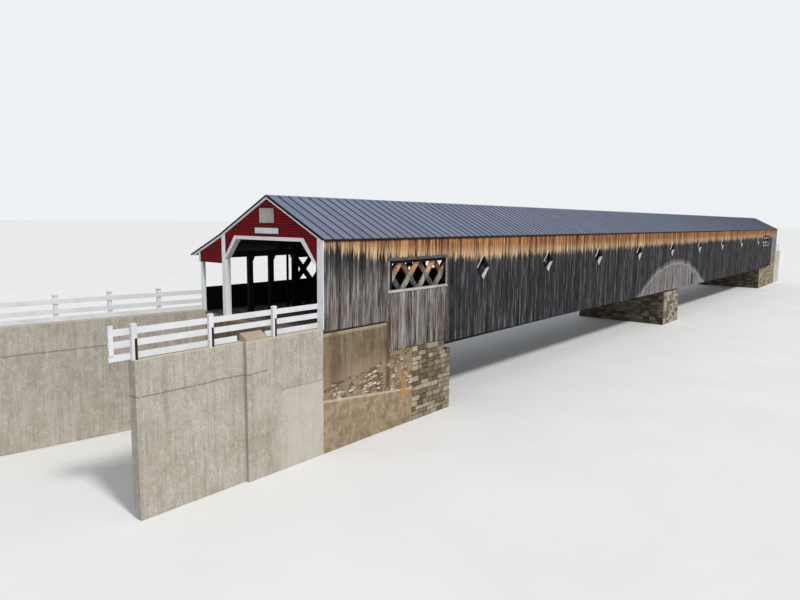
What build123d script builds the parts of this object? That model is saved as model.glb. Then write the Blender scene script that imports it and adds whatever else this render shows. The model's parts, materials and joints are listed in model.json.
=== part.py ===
from build123d import *
from math import atan2, sin
import os

# A covered timber bridge on stone and concrete, at one tenth of its real size, in millimetres.
# X runs along the bridge from the near portal, Y across it from the road's centreline towards
# the sidewalk, and Z up from the level that the pier and the abutments stand on.

# The road and the body of the bridge
bridge_length = 11410.0
body_width = 760.0
road_level = 570.0
deck_thickness = 10.0
siding_thickness = 4.0

# The roof over the road
ridge_rise = 612.0
main_roof_rise_per_run = 0.51
roof_thickness = 5.0
near_eave_overhang = 8.0
roof_end_overhang = 8.0
ridge_cap_half_width = 14.0
ridge_cap_thickness = 2.0
ridge_beam_thickness = 6.0
ridge_beam_depth = 22.0

# The sidewalk beside the road
sidewalk_outer_face = 574.0
sidewalk_roof_rise_per_run = 0.43
sidewalk_eave_overhang = 68.0
parapet_top_rise = 130.0
parapet_bottom_drop = 92.0
parapet_thickness = 4.0
sidewalk_post_size = 15.0
sidewalk_post_pitch = 568.0
header_bottom_rise = 288.0

# The lattice trusses: planks in two layers, held between pairs of chords
lattice_pitch = 142.0
lattice_row_rise = 80.0
lowest_row_drop = 182.5
plank_width = 31.0
plank_thickness = 8.0
chord_depth = 29.0
chord_thickness = 10.0
lattice_rows = 8
end_post_length = 40.0
truss_start = 460.0
near_lattice_shift = 5.0
sidewalk_lattice_shift = 44.0
truss_end_inset = 460.0
truss_face_gap = 4.0

# The floor
floor_beam_width = 18.0
floor_beam_depth = 30.0
floor_beam_clearance = 1.0
stringer_width = 15.0
road_stringers = 5
sidewalk_stringers = 2
road_side_gap = 6.0
guard_rail_levels = (44.0, 68.0)
guard_rail_depth = 15.0
guard_rail_thickness = 6.0

# The frames under the roof
frame_pitch = 284.0
rafter_width = 12.0
rafter_depth = 18.0
tie_beam_width = 16.0
tie_beam_depth = 18.0

# The boarded side towards the river, with its windows and diamonds
near_vestibule_length = 454.0
far_vestibule_length = 750.0
siding_drop_at_near_seat = 165.0
siding_drop_near = 178.0
siding_drop_far = 245.0
siding_drop_at_far_seat = 188.0
window_sill_rise = 150.0
window_height = 150.0
near_window_length = 485.0
far_window_length = 485.0
window_frame_width = 12.0
window_frame_thickness = 4.0
diamond_count = 9
first_diamond = 1330.0
last_diamond_from_end = 1680.0
diamond_crowding = 0.2
diamond_half_width = 67.5
diamond_half_height = 74.5
diamond_centre_rise = 222.5

# The portals
gable_thickness = 6.0
trim_thickness = 4.0
trim_width = 17.0
corner_board_width = 33.0
corner_board_lap = 5.0
trim_to_corner_board = 2.0
opening_top_rise = 416.0
opening_shoulder_inset = 88.0
opening_haunch_rise = 300.0
rake_board_depth = 12.0
sidewalk_panel_bottom_rise = 270.0
sidewalk_corner_board_width = 13.0
sidewalk_end_post_size = 18.0
sidewalk_end_post_inset = 10.0
portal_post_size = 26.0
road_post_width = 30.0
road_post_depth = 28.0
vestibule_post_width = 27.0
vestibule_post_depth = 20.0
vestibule_post_places = (144.0, 285.0)
thin_post_start = 406.0
thin_post_width = 13.0
thin_post_depth = 6.0
vestibule_header_rise = 300.0
vestibule_header_depth = 30.0
knee_brace_reach = 14.0
knee_brace_drop = 26.0

# Stone and concrete
near_seat_start = 426.0
near_seat_end = 650.0
stone_abutment_length = 350.0
cheek_wall_thickness = 7.0
seat_clearance = 4.0
bed_timber_depth = 26.0
bed_timber_width = 30.0
bed_timber_count = 3
pier_start = 4940.0
pier_length = 500.0
pier_far_reach = 160.0
pier_batter = 5.0
far_stone_from_end = 1360.0
wing_wall_thickness = 44.0
wing_wall_length = 875.0
wing_wall_top_rise = 12.0
front_wall_length = 420.0
front_wall_reach = 18.0
wall_cap_length = 106.0
wall_cap_front_rise = 14.0
wall_cap_back_rise = 32.0
sidewalk_wing_length = 1230.0
far_wing_length = 500.0

# The white fences
fence_rail_levels = (15.0, 60.0, 102.0)
fence_rail_depth = 23.0
fence_rail_thickness = 5.0
fence_post_size = 20.0
fence_post_depth = 14.0
fence_post_height = 137.0
near_fence_bay = 306.0
near_fence_bays = 3
near_fence_first_post = 259.0
near_fence_tail = 86.0
boxed_post_top = 49.0
steel_post_width = 10.0
end_stile_width = 16.0
end_stile_bottom_rise = 37.0
broken_rail_start = 300.0
broken_rail_end = 440.0
side_rail_levels = (14.0, 50.0, 97.0)
side_rail_depth = 22.0
side_fence_setback = 14.0
side_fence_bay = 240.0
side_fence_bays = 5
side_fence_turn = 9.5
side_fence_start = 8.0
far_fence_posts = 2

# Levels, counted from the foot of the pier
lattice_bottom = road_level - lowest_row_drop - chord_depth / 2
row_level = [
    road_level - lowest_row_drop + row * lattice_row_rise for row in range(lattice_rows)
]
lattice_top = row_level[-1] + chord_depth / 2
ridge_level = road_level + ridge_rise
seat_level = lattice_bottom - bed_timber_depth
floor_beam_bottom = row_level[1] + chord_depth / 2
floor_beam_top = floor_beam_bottom + floor_beam_depth
deck_bottom = road_level - deck_thickness
tie_top = lattice_top + tie_beam_depth
window_top_rise = window_sill_rise + window_height

# Places across the bridge
near_face = -body_width / 2
truss_width = 2 * (chord_thickness + plank_thickness)
near_truss_outer = near_face + siding_thickness + truss_face_gap
near_truss_inner = near_truss_outer + truss_width
sidewalk_truss_inner = -near_truss_inner
sidewalk_truss_outer = -near_truss_outer
knee_y = body_width / 2

# Places along the bridge
truss_end = bridge_length - truss_end_inset
far_seat_start = truss_end + seat_clearance
far_stone_start = bridge_length - far_stone_from_end
far_vestibule_start = bridge_length - far_vestibule_length
near_window_start = near_vestibule_length
near_window_end = near_window_start + near_window_length
far_window_end = far_vestibule_start
far_window_start = far_window_end - far_window_length
opening_half_width = knee_y - corner_board_width - trim_to_corner_board
road_post_low = sidewalk_truss_inner
road_post_high = road_post_low + road_post_width
sidewalk_eave = sidewalk_outer_face + sidewalk_eave_overhang
cheek_top = road_level - siding_drop_at_near_seat
far_siding_bottom = road_level - siding_drop_at_far_seat
wing_top = road_level + wing_wall_top_rise
near_wall_back_face = near_face + front_wall_reach
first_crossing = truss_start + end_post_length + lattice_pitch / 2
lattice_bays = int((truss_end - truss_start - 2 * end_post_length) / lattice_pitch)
frame_places = [
    first_crossing + number * frame_pitch
    for number in range(int((truss_end - end_post_length - first_crossing) / frame_pitch) + 1)
]


def block(x_low, x_high, y_low, y_high, z_low, z_high):
    """A straight-sided piece between its lowest and highest corners."""
    centre = Pos((x_low + x_high) / 2, (y_low + y_high) / 2, (z_low + z_high) / 2)
    return centre * Box(x_high - x_low, y_high - y_low, z_high - z_low)


def across(points, x_low, x_high):
    """A piece with one outline in Y and Z, running along the bridge."""
    face = Plane.YZ.offset(x_low) * Polygon(*points, align=None)
    return extrude(face, x_high - x_low, dir=(1, 0, 0))


def along(points, y_low, y_high):
    """A piece with one outline in X and Z, running across the bridge."""
    face = Plane.XZ.offset(-y_low) * Polygon(*points, align=None)
    return extrude(face, y_high - y_low, dir=(0, 1, 0))


def write(name, pieces):
    """Write one sub-part, which may hold several separate pieces, as its own file."""
    solids = [solid for piece in pieces for solid in piece.solids()]
    shape = solids[0] if len(solids) == 1 else Compound(solids)
    export_step(shape, os.path.join("parts", name + ".step"))


def roof_top(y):
    """The level of the roof's upper face at a place across the bridge."""
    if y <= knee_y:
        return ridge_level - abs(y) * main_roof_rise_per_run
    return roof_top(knee_y) - (y - knee_y) * sidewalk_roof_rise_per_run


def roof_underside(y):
    """The level of the roof's lower face at a place across the bridge."""
    return roof_top(y) - roof_thickness


def mirrored_to_far_end(piece):
    """The same piece at the other end of the bridge."""
    return mirror(piece, Plane.YZ.offset(bridge_length / 2))


def siding_bottom(x):
    """The level that the boards on the river side reach down to."""
    share = (x - near_window_end) / (far_vestibule_start - near_window_end)
    drop = siding_drop_near + share * (siding_drop_far - siding_drop_near)
    return road_level - drop


def diamond_centres():
    """The diamonds stand closer together near the first portal than at the far one."""
    last_diamond = bridge_length - last_diamond_from_end
    for number in range(diamond_count):
        t = number / (diamond_count - 1)
        yield first_diamond + (last_diamond - first_diamond) * (t - diamond_crowding * t * (1 - t))


def lattice_planks(y_low, lean, shift):
    """One layer of parallel planks, which lean towards the far end (1) or the near end (-1)."""
    run_per_rise = lean * lattice_pitch / 2 / lattice_row_rise
    half_width = plank_width / 2 / sin(atan2(lattice_row_rise, lattice_pitch / 2))
    opening = Pos(truss_start + end_post_length, lattice_bottom) * Rectangle(
        truss_end - truss_start - 2 * end_post_length,
        lattice_top - lattice_bottom,
        align=Align.MIN,
    )
    reach = int((lattice_top - lattice_bottom) / lattice_row_rise)
    planks = []
    for number in range(-reach, lattice_bays + reach):
        crossing = first_crossing + shift + number * lattice_pitch
        foot = crossing + (lattice_bottom - row_level[0]) * run_per_rise
        head = crossing + (lattice_top - row_level[0]) * run_per_rise
        corners = [
            (foot - half_width, lattice_bottom),
            (foot + half_width, lattice_bottom),
            (head + half_width, lattice_top),
            (head - half_width, lattice_top),
        ]
        face = opening & Polygon(*corners, align=None)
        if face and face.area > plank_width**2:
            placed_face = Plane.XZ.offset(-y_low) * face
            planks.append(extrude(placed_face, plank_thickness, dir=(0, 1, 0)))
    return planks


def truss_chords(y_outer, y_inner):
    """Chord timbers on both faces of a lattice, at its two lowest and two highest rows."""
    pieces = []
    for level in (*row_level[:2], *row_level[-2:]):
        low = level - chord_depth / 2
        for y in (y_outer, y_inner - chord_thickness):
            pieces.append(
                block(truss_start, truss_end, y, y + chord_thickness, low, low + chord_depth)
            )
    return pieces


def end_posts():
    """A post between the chord timbers at each end of each lattice."""
    pieces = []
    for y_low in (near_truss_outer + chord_thickness, sidewalk_truss_inner + chord_thickness):
        for x_low in (truss_start, truss_end - end_post_length):
            pieces.append(
                block(
                    x_low,
                    x_low + end_post_length,
                    y_low,
                    y_low + 2 * plank_thickness,
                    lattice_bottom,
                    lattice_top,
                )
            )
    return pieces


def floor_beams():
    """Cross beams that lie on the second chords and carry the road and the sidewalk.

    They pass through the gaps of both lattices, whose planks don't stand opposite each
    other, so they run slightly askew.
    """
    y_low, y_high = near_truss_outer, sidewalk_outer_face - parapet_thickness
    near_middle = (near_truss_outer + near_truss_inner) / 2
    skew = (sidewalk_lattice_shift - near_lattice_shift) / (-2 * near_middle)
    half = floor_beam_width / 2
    pieces = []
    for place in frame_places:
        start, end = (
            place + near_lattice_shift + (y - near_middle) * skew for y in (y_low, y_high)
        )
        corners = [
            (start - half, y_low),
            (start + half, y_low),
            (end + half, y_high),
            (end - half, y_high),
        ]
        face = Plane.XY.offset(floor_beam_bottom) * Polygon(*corners, align=None)
        pieces.append(extrude(face, floor_beam_depth, dir=(0, 0, 1)))
    return pieces


def stringers():
    """Long timbers on the floor beams, under the road and under the sidewalk."""
    road_low = near_truss_inner + road_side_gap + stringer_width / 2
    road_pitch = -2 * road_low / (road_stringers - 1)
    walk_low = sidewalk_truss_outer + stringer_width
    walk_high = sidewalk_outer_face - parapet_thickness - stringer_width
    walk_pitch = (walk_high - walk_low) / (sidewalk_stringers - 1)
    centres = [road_low + road_pitch * number for number in range(road_stringers)]
    centres += [walk_low + walk_pitch * number for number in range(sidewalk_stringers)]
    return [
        block(
            truss_start + end_post_length,
            truss_end - end_post_length,
            centre - stringer_width / 2,
            centre + stringer_width / 2,
            floor_beam_top,
            deck_bottom,
        )
        for centre in centres
    ]


def guard_rails():
    """Two rails along each side of the road, fastened to the trusses."""
    pieces = []
    for y_low in (near_truss_inner, sidewalk_truss_inner - guard_rail_thickness):
        for rise in guard_rail_levels:
            low = road_level + rise
            pieces.append(
                block(
                    truss_start,
                    truss_end,
                    y_low,
                    y_low + guard_rail_thickness,
                    low,
                    low + guard_rail_depth,
                )
            )
    return pieces


def tie_beams():
    """Beams from truss to truss, on top of the lattices."""
    return [
        block(
            place - tie_beam_width / 2,
            place + tie_beam_width / 2,
            near_face + siding_thickness,
            knee_y,
            lattice_top,
            tie_top,
        )
        for place in frame_places
    ]


def ridge_beam():
    """The board that the rafters meet on."""
    top = roof_underside(ridge_beam_thickness / 2)
    return block(
        gable_thickness,
        bridge_length - gable_thickness,
        -ridge_beam_thickness / 2,
        ridge_beam_thickness / 2,
        top - ridge_beam_depth,
        top,
    )


def rafters():
    """Pairs of rafters against the ridge beam, their feet cut level on the tie beams."""
    seat = (roof_underside(0) - rafter_depth - tie_top) / main_roof_rise_per_run
    inner = ridge_beam_thickness / 2
    outer = sidewalk_truss_outer
    outline = [
        (inner, roof_underside(inner)),
        (outer, roof_underside(outer)),
        (outer, tie_top),
        (seat, tie_top),
        (inner, roof_underside(inner) - rafter_depth),
    ]
    pieces = []
    for place in frame_places:
        for side in (-1, 1):
            corners = [(side * y, level) for y, level in outline]
            pieces.append(across(corners, place - rafter_width / 2, place + rafter_width / 2))
    return pieces


def sidewalk_rafters():
    """Single rafters from the sidewalk truss down to the outer header."""
    y_low = knee_y
    y_high = (sidewalk_outer_face + sidewalk_eave) / 2
    corners = [
        (y_low, roof_underside(y_low)),
        (y_high, roof_underside(y_high)),
        (y_high, roof_underside(y_high) - rafter_depth),
        (y_low, roof_underside(y_low) - rafter_depth),
    ]
    return [
        across(corners, place - rafter_width / 2, place + rafter_width / 2)
        for place in frame_places
    ]


def slope(y_low, y_high):
    """One sheet of the roof between two places across the bridge."""
    corners = [
        (y_low, roof_underside(y_low)),
        (y_low, roof_top(y_low)),
        (y_high, roof_top(y_high)),
        (y_high, roof_underside(y_high)),
    ]
    return across(corners, -roof_end_overhang, bridge_length + roof_end_overhang)


def ridge_cap():
    """A folded cap over the joint of the two main slopes."""
    low = roof_top(ridge_cap_half_width)
    corners = [
        (-ridge_cap_half_width, low),
        (0, ridge_level),
        (ridge_cap_half_width, low),
        (ridge_cap_half_width, low + ridge_cap_thickness),
        (0, ridge_level + ridge_cap_thickness),
        (-ridge_cap_half_width, low + ridge_cap_thickness),
    ]
    return across(corners, -roof_end_overhang, bridge_length + roof_end_overhang)


def wall_piece(outline):
    """Boards of the river side within one outline in X and Z."""
    return along(outline, near_face, near_face + siding_thickness)


def wall_top():
    """The level where the boards of the river side meet the roof."""
    return roof_underside(near_face)


def wall_panels():
    """Full-height boards between the windows and the diamonds."""
    edges = [near_window_end]
    for centre in diamond_centres():
        edges += [centre - diamond_half_width, centre + diamond_half_width]
    edges.append(far_window_start)
    pieces = []
    for x_low, x_high in zip(edges[::2], edges[1::2]):
        outline = [
            (x_low, siding_bottom(x_low)),
            (x_high, siding_bottom(x_high)),
            (x_high, wall_top()),
            (x_low, wall_top()),
        ]
        pieces.append(wall_piece(outline))
    return pieces


def walls_under_openings():
    """Boards below both windows and below each diamond, where they end in a notch."""
    sill = road_level + window_sill_rise
    under_far_window = [
        (far_window_start, siding_bottom(far_window_start)),
        (far_window_end, far_siding_bottom),
        (far_window_end, sill),
        (far_window_start, sill),
    ]
    pieces = [
        block(
            near_window_start,
            near_window_end,
            near_face,
            near_face + siding_thickness,
            cheek_top,
            sill,
        ),
        wall_piece(under_far_window),
    ]
    middle = road_level + diamond_centre_rise
    for centre in diamond_centres():
        x_low, x_high = centre - diamond_half_width, centre + diamond_half_width
        outline = [
            (x_low, siding_bottom(x_low)),
            (x_high, siding_bottom(x_high)),
            (x_high, middle),
            (centre, middle - diamond_half_height),
            (x_low, middle),
        ]
        pieces.append(wall_piece(outline))
    return pieces


def walls_over_openings():
    """Boards above both windows and above each diamond, where they end in a notch."""
    head = road_level + window_top_rise
    pieces = [
        block(x_low, x_high, near_face, near_face + siding_thickness, head, wall_top())
        for x_low, x_high in (
            (near_window_start, near_window_end),
            (far_window_start, far_window_end),
        )
    ]
    middle = road_level + diamond_centre_rise
    for centre in diamond_centres():
        x_low, x_high = centre - diamond_half_width, centre + diamond_half_width
        outline = [
            (x_low, middle),
            (centre, middle + diamond_half_height),
            (x_high, middle),
            (x_high, wall_top()),
            (x_low, wall_top()),
        ]
        pieces.append(wall_piece(outline))
    return pieces


def near_vestibule_wall():
    """The boards of the river side over the near abutment, which end at the road's level."""
    return block(
        0,
        near_window_start,
        near_face,
        near_face + siding_thickness,
        deck_bottom,
        wall_top(),
    )


def far_vestibule_wall():
    """The boards over the far abutment, with a longer part that hides the end of the truss."""
    outline = [
        (far_vestibule_start, far_siding_bottom),
        (far_seat_start, far_siding_bottom),
        (far_seat_start, deck_bottom),
        (bridge_length, deck_bottom),
        (bridge_length, wall_top()),
        (far_vestibule_start, wall_top()),
    ]
    return wall_piece(outline)


def window_frames():
    """Flat boards around each window, nailed to the outside of the wall."""
    pieces = []
    for x_low, x_high in (
        (near_window_start, near_window_end),
        (far_window_start, far_window_end),
    ):
        z_low, z_high = road_level + window_sill_rise, road_level + window_top_rise
        outer = block(
            x_low - window_frame_width,
            x_high + window_frame_width,
            near_face - window_frame_thickness,
            near_face,
            z_low - window_frame_width,
            z_high + window_frame_width,
        )
        hole = block(x_low, x_high, near_face - window_frame_thickness, near_face, z_low, z_high)
        pieces.append(outer - hole)
    return pieces


def sidewalk_post_places():
    """The places of the outer posts, of which the first stands clear of the vestibule."""
    first = frame_places[1]
    count = int((bridge_length - 2 * first) / sidewalk_post_pitch) + 1
    return [first + number * sidewalk_post_pitch for number in range(count)]


def sidewalk_posts():
    """Slim posts that stand over the floor beams and carry the header of the outer eave."""
    return [
        block(
            place - sidewalk_post_size / 2,
            place + sidewalk_post_size / 2,
            sidewalk_outer_face - parapet_thickness - sidewalk_post_size,
            sidewalk_outer_face - parapet_thickness,
            road_level,
            road_level + header_bottom_rise,
        )
        for place in sidewalk_post_places()
    ]


def sidewalk_header():
    """The long timber that carries the outer eave."""
    y_high = sidewalk_outer_face - parapet_thickness
    return block(
        gable_thickness,
        bridge_length - gable_thickness,
        y_high - sidewalk_post_size,
        y_high,
        road_level + header_bottom_rise,
        roof_underside(y_high) - rafter_depth,
    )


def opening_outline(inset):
    """The haunches and the level head over the portal's opening, drawn in by an inset."""
    half = opening_half_width - inset
    shoulder = half - opening_shoulder_inset
    haunch = road_level + opening_haunch_rise
    top = road_level + opening_top_rise - inset
    return [(-half, haunch), (-shoulder, top), (shoulder, top), (half, haunch)]


def gable():
    """The boarded panels over the road and over the sidewalk at one portal."""
    haunch = road_level + opening_haunch_rise
    eave = near_face + siding_thickness
    road_outline = [
        (eave, haunch),
        (road_post_low, haunch),
        (road_post_low, roof_underside(road_post_low)),
        (0, roof_underside(0)),
        (eave, roof_underside(eave)),
    ]
    road_panel = across(road_outline, 0, gable_thickness)
    road_panel -= across(opening_outline(0), 0, gable_thickness)
    walk_low = road_level + sidewalk_panel_bottom_rise
    walk_outline = [
        (road_post_high, walk_low),
        (sidewalk_outer_face, walk_low),
        (sidewalk_outer_face, roof_underside(sidewalk_outer_face)),
        (knee_y, roof_underside(knee_y)),
        (road_post_high, roof_underside(road_post_high)),
    ]
    return [road_panel, across(walk_outline, 0, gable_thickness)]


def portal_posts():
    """Posts at one portal: the corner, the sidewalk side of the road and the outer end."""
    outer_y = sidewalk_outer_face - sidewalk_end_post_inset
    walk_low = road_level + sidewalk_panel_bottom_rise
    corner_inner = near_face + siding_thickness + portal_post_size
    return [
        block(
            gable_thickness,
            gable_thickness + portal_post_size,
            near_face + siding_thickness,
            corner_inner,
            deck_bottom,
            roof_underside(near_face),
        ),
        block(
            0,
            road_post_depth,
            road_post_low,
            road_post_high,
            road_level,
            roof_underside(road_post_high),
        ),
        block(
            0,
            sidewalk_end_post_size,
            outer_y - sidewalk_end_post_size,
            outer_y,
            road_level,
            walk_low,
        ),
    ]


def portal_trim():
    """White boards around one portal's opening, on its corners and under the roof's edge."""
    outline = opening_outline(0) + opening_outline(trim_width)[::-1]
    boards = across(outline, -trim_thickness, 0)
    walk_low = road_level + sidewalk_panel_bottom_rise
    for y_low, y_high, bottom in (
        (near_face - corner_board_lap, near_face + corner_board_width, wing_top),
        (sidewalk_outer_face - sidewalk_corner_board_width, sidewalk_outer_face, walk_low),
    ):
        corner = [
            (y_low, bottom),
            (y_high, bottom),
            (y_high, roof_underside(y_high)),
            (y_low, roof_underside(y_low)),
        ]
        boards += across(corner, -trim_thickness, 0)
    for y_low, y_high in ((near_face - near_eave_overhang, 0), (0, knee_y)):
        rake = [
            (y_low, roof_underside(y_low)),
            (y_high, roof_underside(y_high)),
            (y_high, roof_underside(y_high) - rake_board_depth),
            (y_low, roof_underside(y_low) - rake_board_depth),
        ]
        boards += across(rake, -trim_thickness, 0)
    eave_level = roof_underside(sidewalk_eave)
    level_cut = sidewalk_eave - rake_board_depth / sidewalk_roof_rise_per_run
    walk_rake = [
        (knee_y, roof_underside(knee_y)),
        (sidewalk_eave, eave_level),
        (level_cut, eave_level),
        (knee_y, roof_underside(knee_y) - rake_board_depth),
    ]
    return boards + across(walk_rake, -trim_thickness, 0)


def vestibule_frame():
    """The open side over the abutment: a header on its posts, with small knee braces."""
    top = road_level + vestibule_header_rise
    y_low, y_high = road_post_low, road_post_low + vestibule_post_depth
    frame = block(
        road_post_depth, truss_start, y_low, road_post_high, top, top + vestibule_header_depth
    )
    frame += block(
        thin_post_start,
        thin_post_start + thin_post_width,
        y_low,
        y_low + thin_post_depth,
        road_level,
        top,
    )
    for x_low in vestibule_post_places:
        face = x_low + vestibule_post_width
        frame += block(x_low, face, y_low, y_high, road_level, top)
        brace = [(face, top), (face + knee_brace_reach, top), (face, top - knee_brace_drop)]
        frame += along(brace, y_low, y_high)
    return frame


def near_abutment():
    """The concrete under the near portal, with a lower seat for the trusses behind a cheek."""
    step = near_seat_start
    body = [
        (0, 0),
        (near_seat_end, 0),
        (near_seat_end, seat_level),
        (step, seat_level),
        (step, deck_bottom),
        (0, deck_bottom),
    ]
    cheek = [
        (step, 0),
        (near_seat_end, 0),
        (near_seat_end, cheek_top),
        (near_vestibule_length, cheek_top),
        (near_vestibule_length, deck_bottom),
        (step, deck_bottom),
    ]
    abutment = along(body, near_face, sidewalk_outer_face - parapet_thickness)
    return abutment + along(cheek, near_face, near_face + cheek_wall_thickness)


def near_stone_abutment():
    """The older stone face in front of the concrete, rising to a cheek below the boards."""
    end = near_seat_end + stone_abutment_length
    body = block(
        near_seat_end, end, near_face, sidewalk_outer_face - parapet_thickness, 0, seat_level
    )
    cheek = block(
        near_seat_end,
        near_window_end,
        near_face,
        near_face + cheek_wall_thickness,
        seat_level,
        cheek_top,
    )
    return body + cheek


def bed_timbers():
    """Cross timbers that carry the trusses on both abutments and on the pier."""
    seats = (
        (truss_start, near_seat_end),
        (pier_start, pier_start + pier_length),
        (far_stone_start, truss_end),
    )
    pieces = []
    for x_low, x_high in seats:
        spacing = (x_high - x_low - bed_timber_width) / bed_timber_count
        for number in range(bed_timber_count):
            low = x_low + spacing * (number + 0.5)
            pieces.append(
                block(
                    low,
                    low + bed_timber_width,
                    near_truss_outer,
                    sidewalk_truss_outer,
                    seat_level,
                    lattice_bottom,
                )
            )
    return pieces


def river_pier():
    """A cut-stone pier whose four sides lean inwards as they rise."""
    y_low, y_high = near_face, knee_y + pier_far_reach
    centre = ((pier_start + pier_start + pier_length) / 2, (y_low + y_high) / 2)
    foot = Pos(*centre, 0) * Rectangle(
        pier_length + 2 * pier_batter, y_high - y_low + 2 * pier_batter
    )
    head = Pos(*centre, seat_level) * Rectangle(pier_length, y_high - y_low)
    return loft([foot.face(), head.face()])


def far_stone_abutment():
    """The stone abutment at the far bank, level with the pier."""
    return block(
        far_stone_start,
        far_seat_start,
        near_face + siding_thickness,
        sidewalk_outer_face - parapet_thickness,
        0,
        seat_level,
    )


def far_seat_wall():
    """The concrete under the far portal."""
    return block(
        far_seat_start,
        bridge_length,
        near_face,
        sidewalk_outer_face - parapet_thickness,
        0,
        deck_bottom,
    )


def near_wing_wall():
    """The wall beside the road, its front part further out, with a sloping cap on that."""
    front = block(-front_wall_length, 0, near_face, near_truss_inner, 0, wing_top)
    back = block(
        -wing_wall_length,
        -front_wall_length + wing_wall_thickness,
        near_wall_back_face,
        near_wall_back_face + wing_wall_thickness,
        0,
        wing_top,
    )
    cap_outline = [
        (near_face, wing_top),
        (near_truss_inner, wing_top),
        (near_truss_inner, wing_top + wall_cap_back_rise),
        (near_face, wing_top + wall_cap_front_rise),
    ]
    cap = across(cap_outline, -front_wall_length, -front_wall_length + wall_cap_length)
    return front + back + cap


def sidewalk_wing_wall():
    """The wall beside the sidewalk's approach, which turns slightly away from the road."""
    wall = side_line * block(-sidewalk_wing_length, 0, 0, wing_wall_thickness, 0, wing_top)
    return split(wall, Plane.YZ, keep=Keep.BOTTOM)


def far_wing_walls():
    """Short walls beyond the far portal, one on each side."""
    pieces = []
    for y_low in (near_face, sidewalk_outer_face - wing_wall_thickness):
        pieces.append(
            block(
                bridge_length,
                bridge_length + far_wing_length,
                y_low,
                y_low + wing_wall_thickness,
                0,
                wing_top,
            )
        )
    return pieces


def rail(x_low, x_high, y_low, rise, depth):
    """One fence rail, its lower edge at a rise above the road."""
    low = road_level + rise
    return block(x_low, x_high, y_low, y_low + fence_rail_thickness, low, low + depth)


def near_fence_posts():
    """The places of the posts on the near wing wall."""
    return [-near_fence_first_post - number * near_fence_bay for number in range(near_fence_bays)]


def near_fence():
    """The fence on the near wing wall, whose lowest rail is broken off beside the wall's cap."""
    y_post = near_wall_back_face
    y_rail = y_post + fence_post_depth
    posts = near_fence_posts()
    end = posts[-1] - near_fence_tail
    low_rise, *other_rises = fence_rail_levels
    panel = [rail(end, -trim_thickness, y_rail, rise, fence_rail_depth) for rise in other_rises]
    panel.append(rail(end, -broken_rail_end, y_rail, low_rise, fence_rail_depth))
    panel.append(
        rail(-broken_rail_start, -trim_thickness, y_rail, low_rise, fence_rail_depth)
    )
    top = road_level + fence_post_height
    panel.append(
        block(
            end,
            end + end_stile_width,
            y_rail - fence_rail_thickness,
            y_rail,
            road_level + end_stile_bottom_rise,
            top,
        )
    )
    for place in posts:
        x_low, x_high = place - fence_post_size / 2, place + fence_post_size / 2
        panel.append(block(x_low, x_high - steel_post_width, y_post, y_rail, wing_top, top))
        panel.append(block(x_low, x_high, y_post, y_rail, top - boxed_post_top, top))
    return panel[0].fuse(*panel[1:])


def fence_steel_posts():
    """The bare steel posts beside the white boards of the near fence."""
    y_post = near_wall_back_face
    pieces = []
    for place in near_fence_posts():
        x_high = place + fence_post_size / 2
        pieces.append(
            block(
                x_high - steel_post_width,
                x_high,
                y_post,
                y_post + fence_post_depth,
                wing_top,
                road_level + fence_post_height - boxed_post_top,
            )
        )
    return pieces


def side_fence(x_low, x_high, posts, y_front):
    """Three narrow rails in front of posts that stand on a wall, as one panel."""
    y_back = y_front + fence_rail_thickness
    panel = [rail(x_low, x_high, y_front, rise, side_rail_depth) for rise in side_rail_levels]
    for place in posts:
        panel.append(
            block(
                place - fence_post_size / 2,
                place + fence_post_size / 2,
                y_back,
                y_back + fence_post_depth,
                wing_top,
                road_level + fence_post_height,
            )
        )
    return panel[0].fuse(*panel[1:])


def sidewalk_fence():
    """The fence beside the sidewalk's approach."""
    posts = [-side_fence_bay * (number + 1) for number in range(side_fence_bays)]
    end = posts[-1] - fence_post_size / 2
    return side_line * side_fence(end, -side_fence_start, posts, side_fence_setback)


def far_fences():
    """The fences on the far wing walls."""
    start = bridge_length + trim_thickness
    spacing = (far_wing_length - fence_post_size) / far_fence_posts
    posts = [start + spacing * (number + 1) for number in range(far_fence_posts)]
    end = posts[-1] + fence_post_size / 2
    return [
        side_fence(start, end, posts, y_low + side_fence_setback)
        for y_low in (near_face, sidewalk_outer_face - wing_wall_thickness)
    ]


side_line = Pos(0, sidewalk_outer_face - wing_wall_thickness, 0) * Rot(0, 0, -side_fence_turn)

os.makedirs("parts", exist_ok=True)

write("near_abutment", [near_abutment()])
write("near_stone_abutment", [near_stone_abutment()])
write("near_wing_wall", [near_wing_wall()])
write("sidewalk_wing_wall", [sidewalk_wing_wall()])
write("river_pier", [river_pier()])
write("far_stone_abutment", [far_stone_abutment()])
write("far_seat_wall", [far_seat_wall()])
write("far_wing_walls", far_wing_walls())
write("bed_timbers", bed_timbers())

lattices = {
    "near_truss": (near_truss_outer + chord_thickness, near_lattice_shift),
    "sidewalk_truss": (sidewalk_truss_inner + chord_thickness, sidewalk_lattice_shift),
}
for truss, (y_low, shift) in lattices.items():
    write(truss + "_rising_planks", lattice_planks(y_low, 1, shift))
    write(truss + "_falling_planks", lattice_planks(y_low + plank_thickness, -1, shift))
write("near_truss_chords", truss_chords(near_truss_outer, near_truss_inner))
write("sidewalk_truss_chords", truss_chords(sidewalk_truss_inner, sidewalk_truss_outer))
write("truss_end_posts", end_posts())

write("floor_beams", floor_beams())
write("stringers", stringers())
write(
    "road_deck",
    [block(0, bridge_length, near_truss_inner, sidewalk_truss_inner, deck_bottom, road_level)],
)
write(
    "sidewalk_deck",
    [
        block(
            0,
            bridge_length,
            sidewalk_truss_outer,
            sidewalk_outer_face - parapet_thickness,
            deck_bottom,
            road_level,
        )
    ],
)
write("guard_rails", guard_rails())

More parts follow.
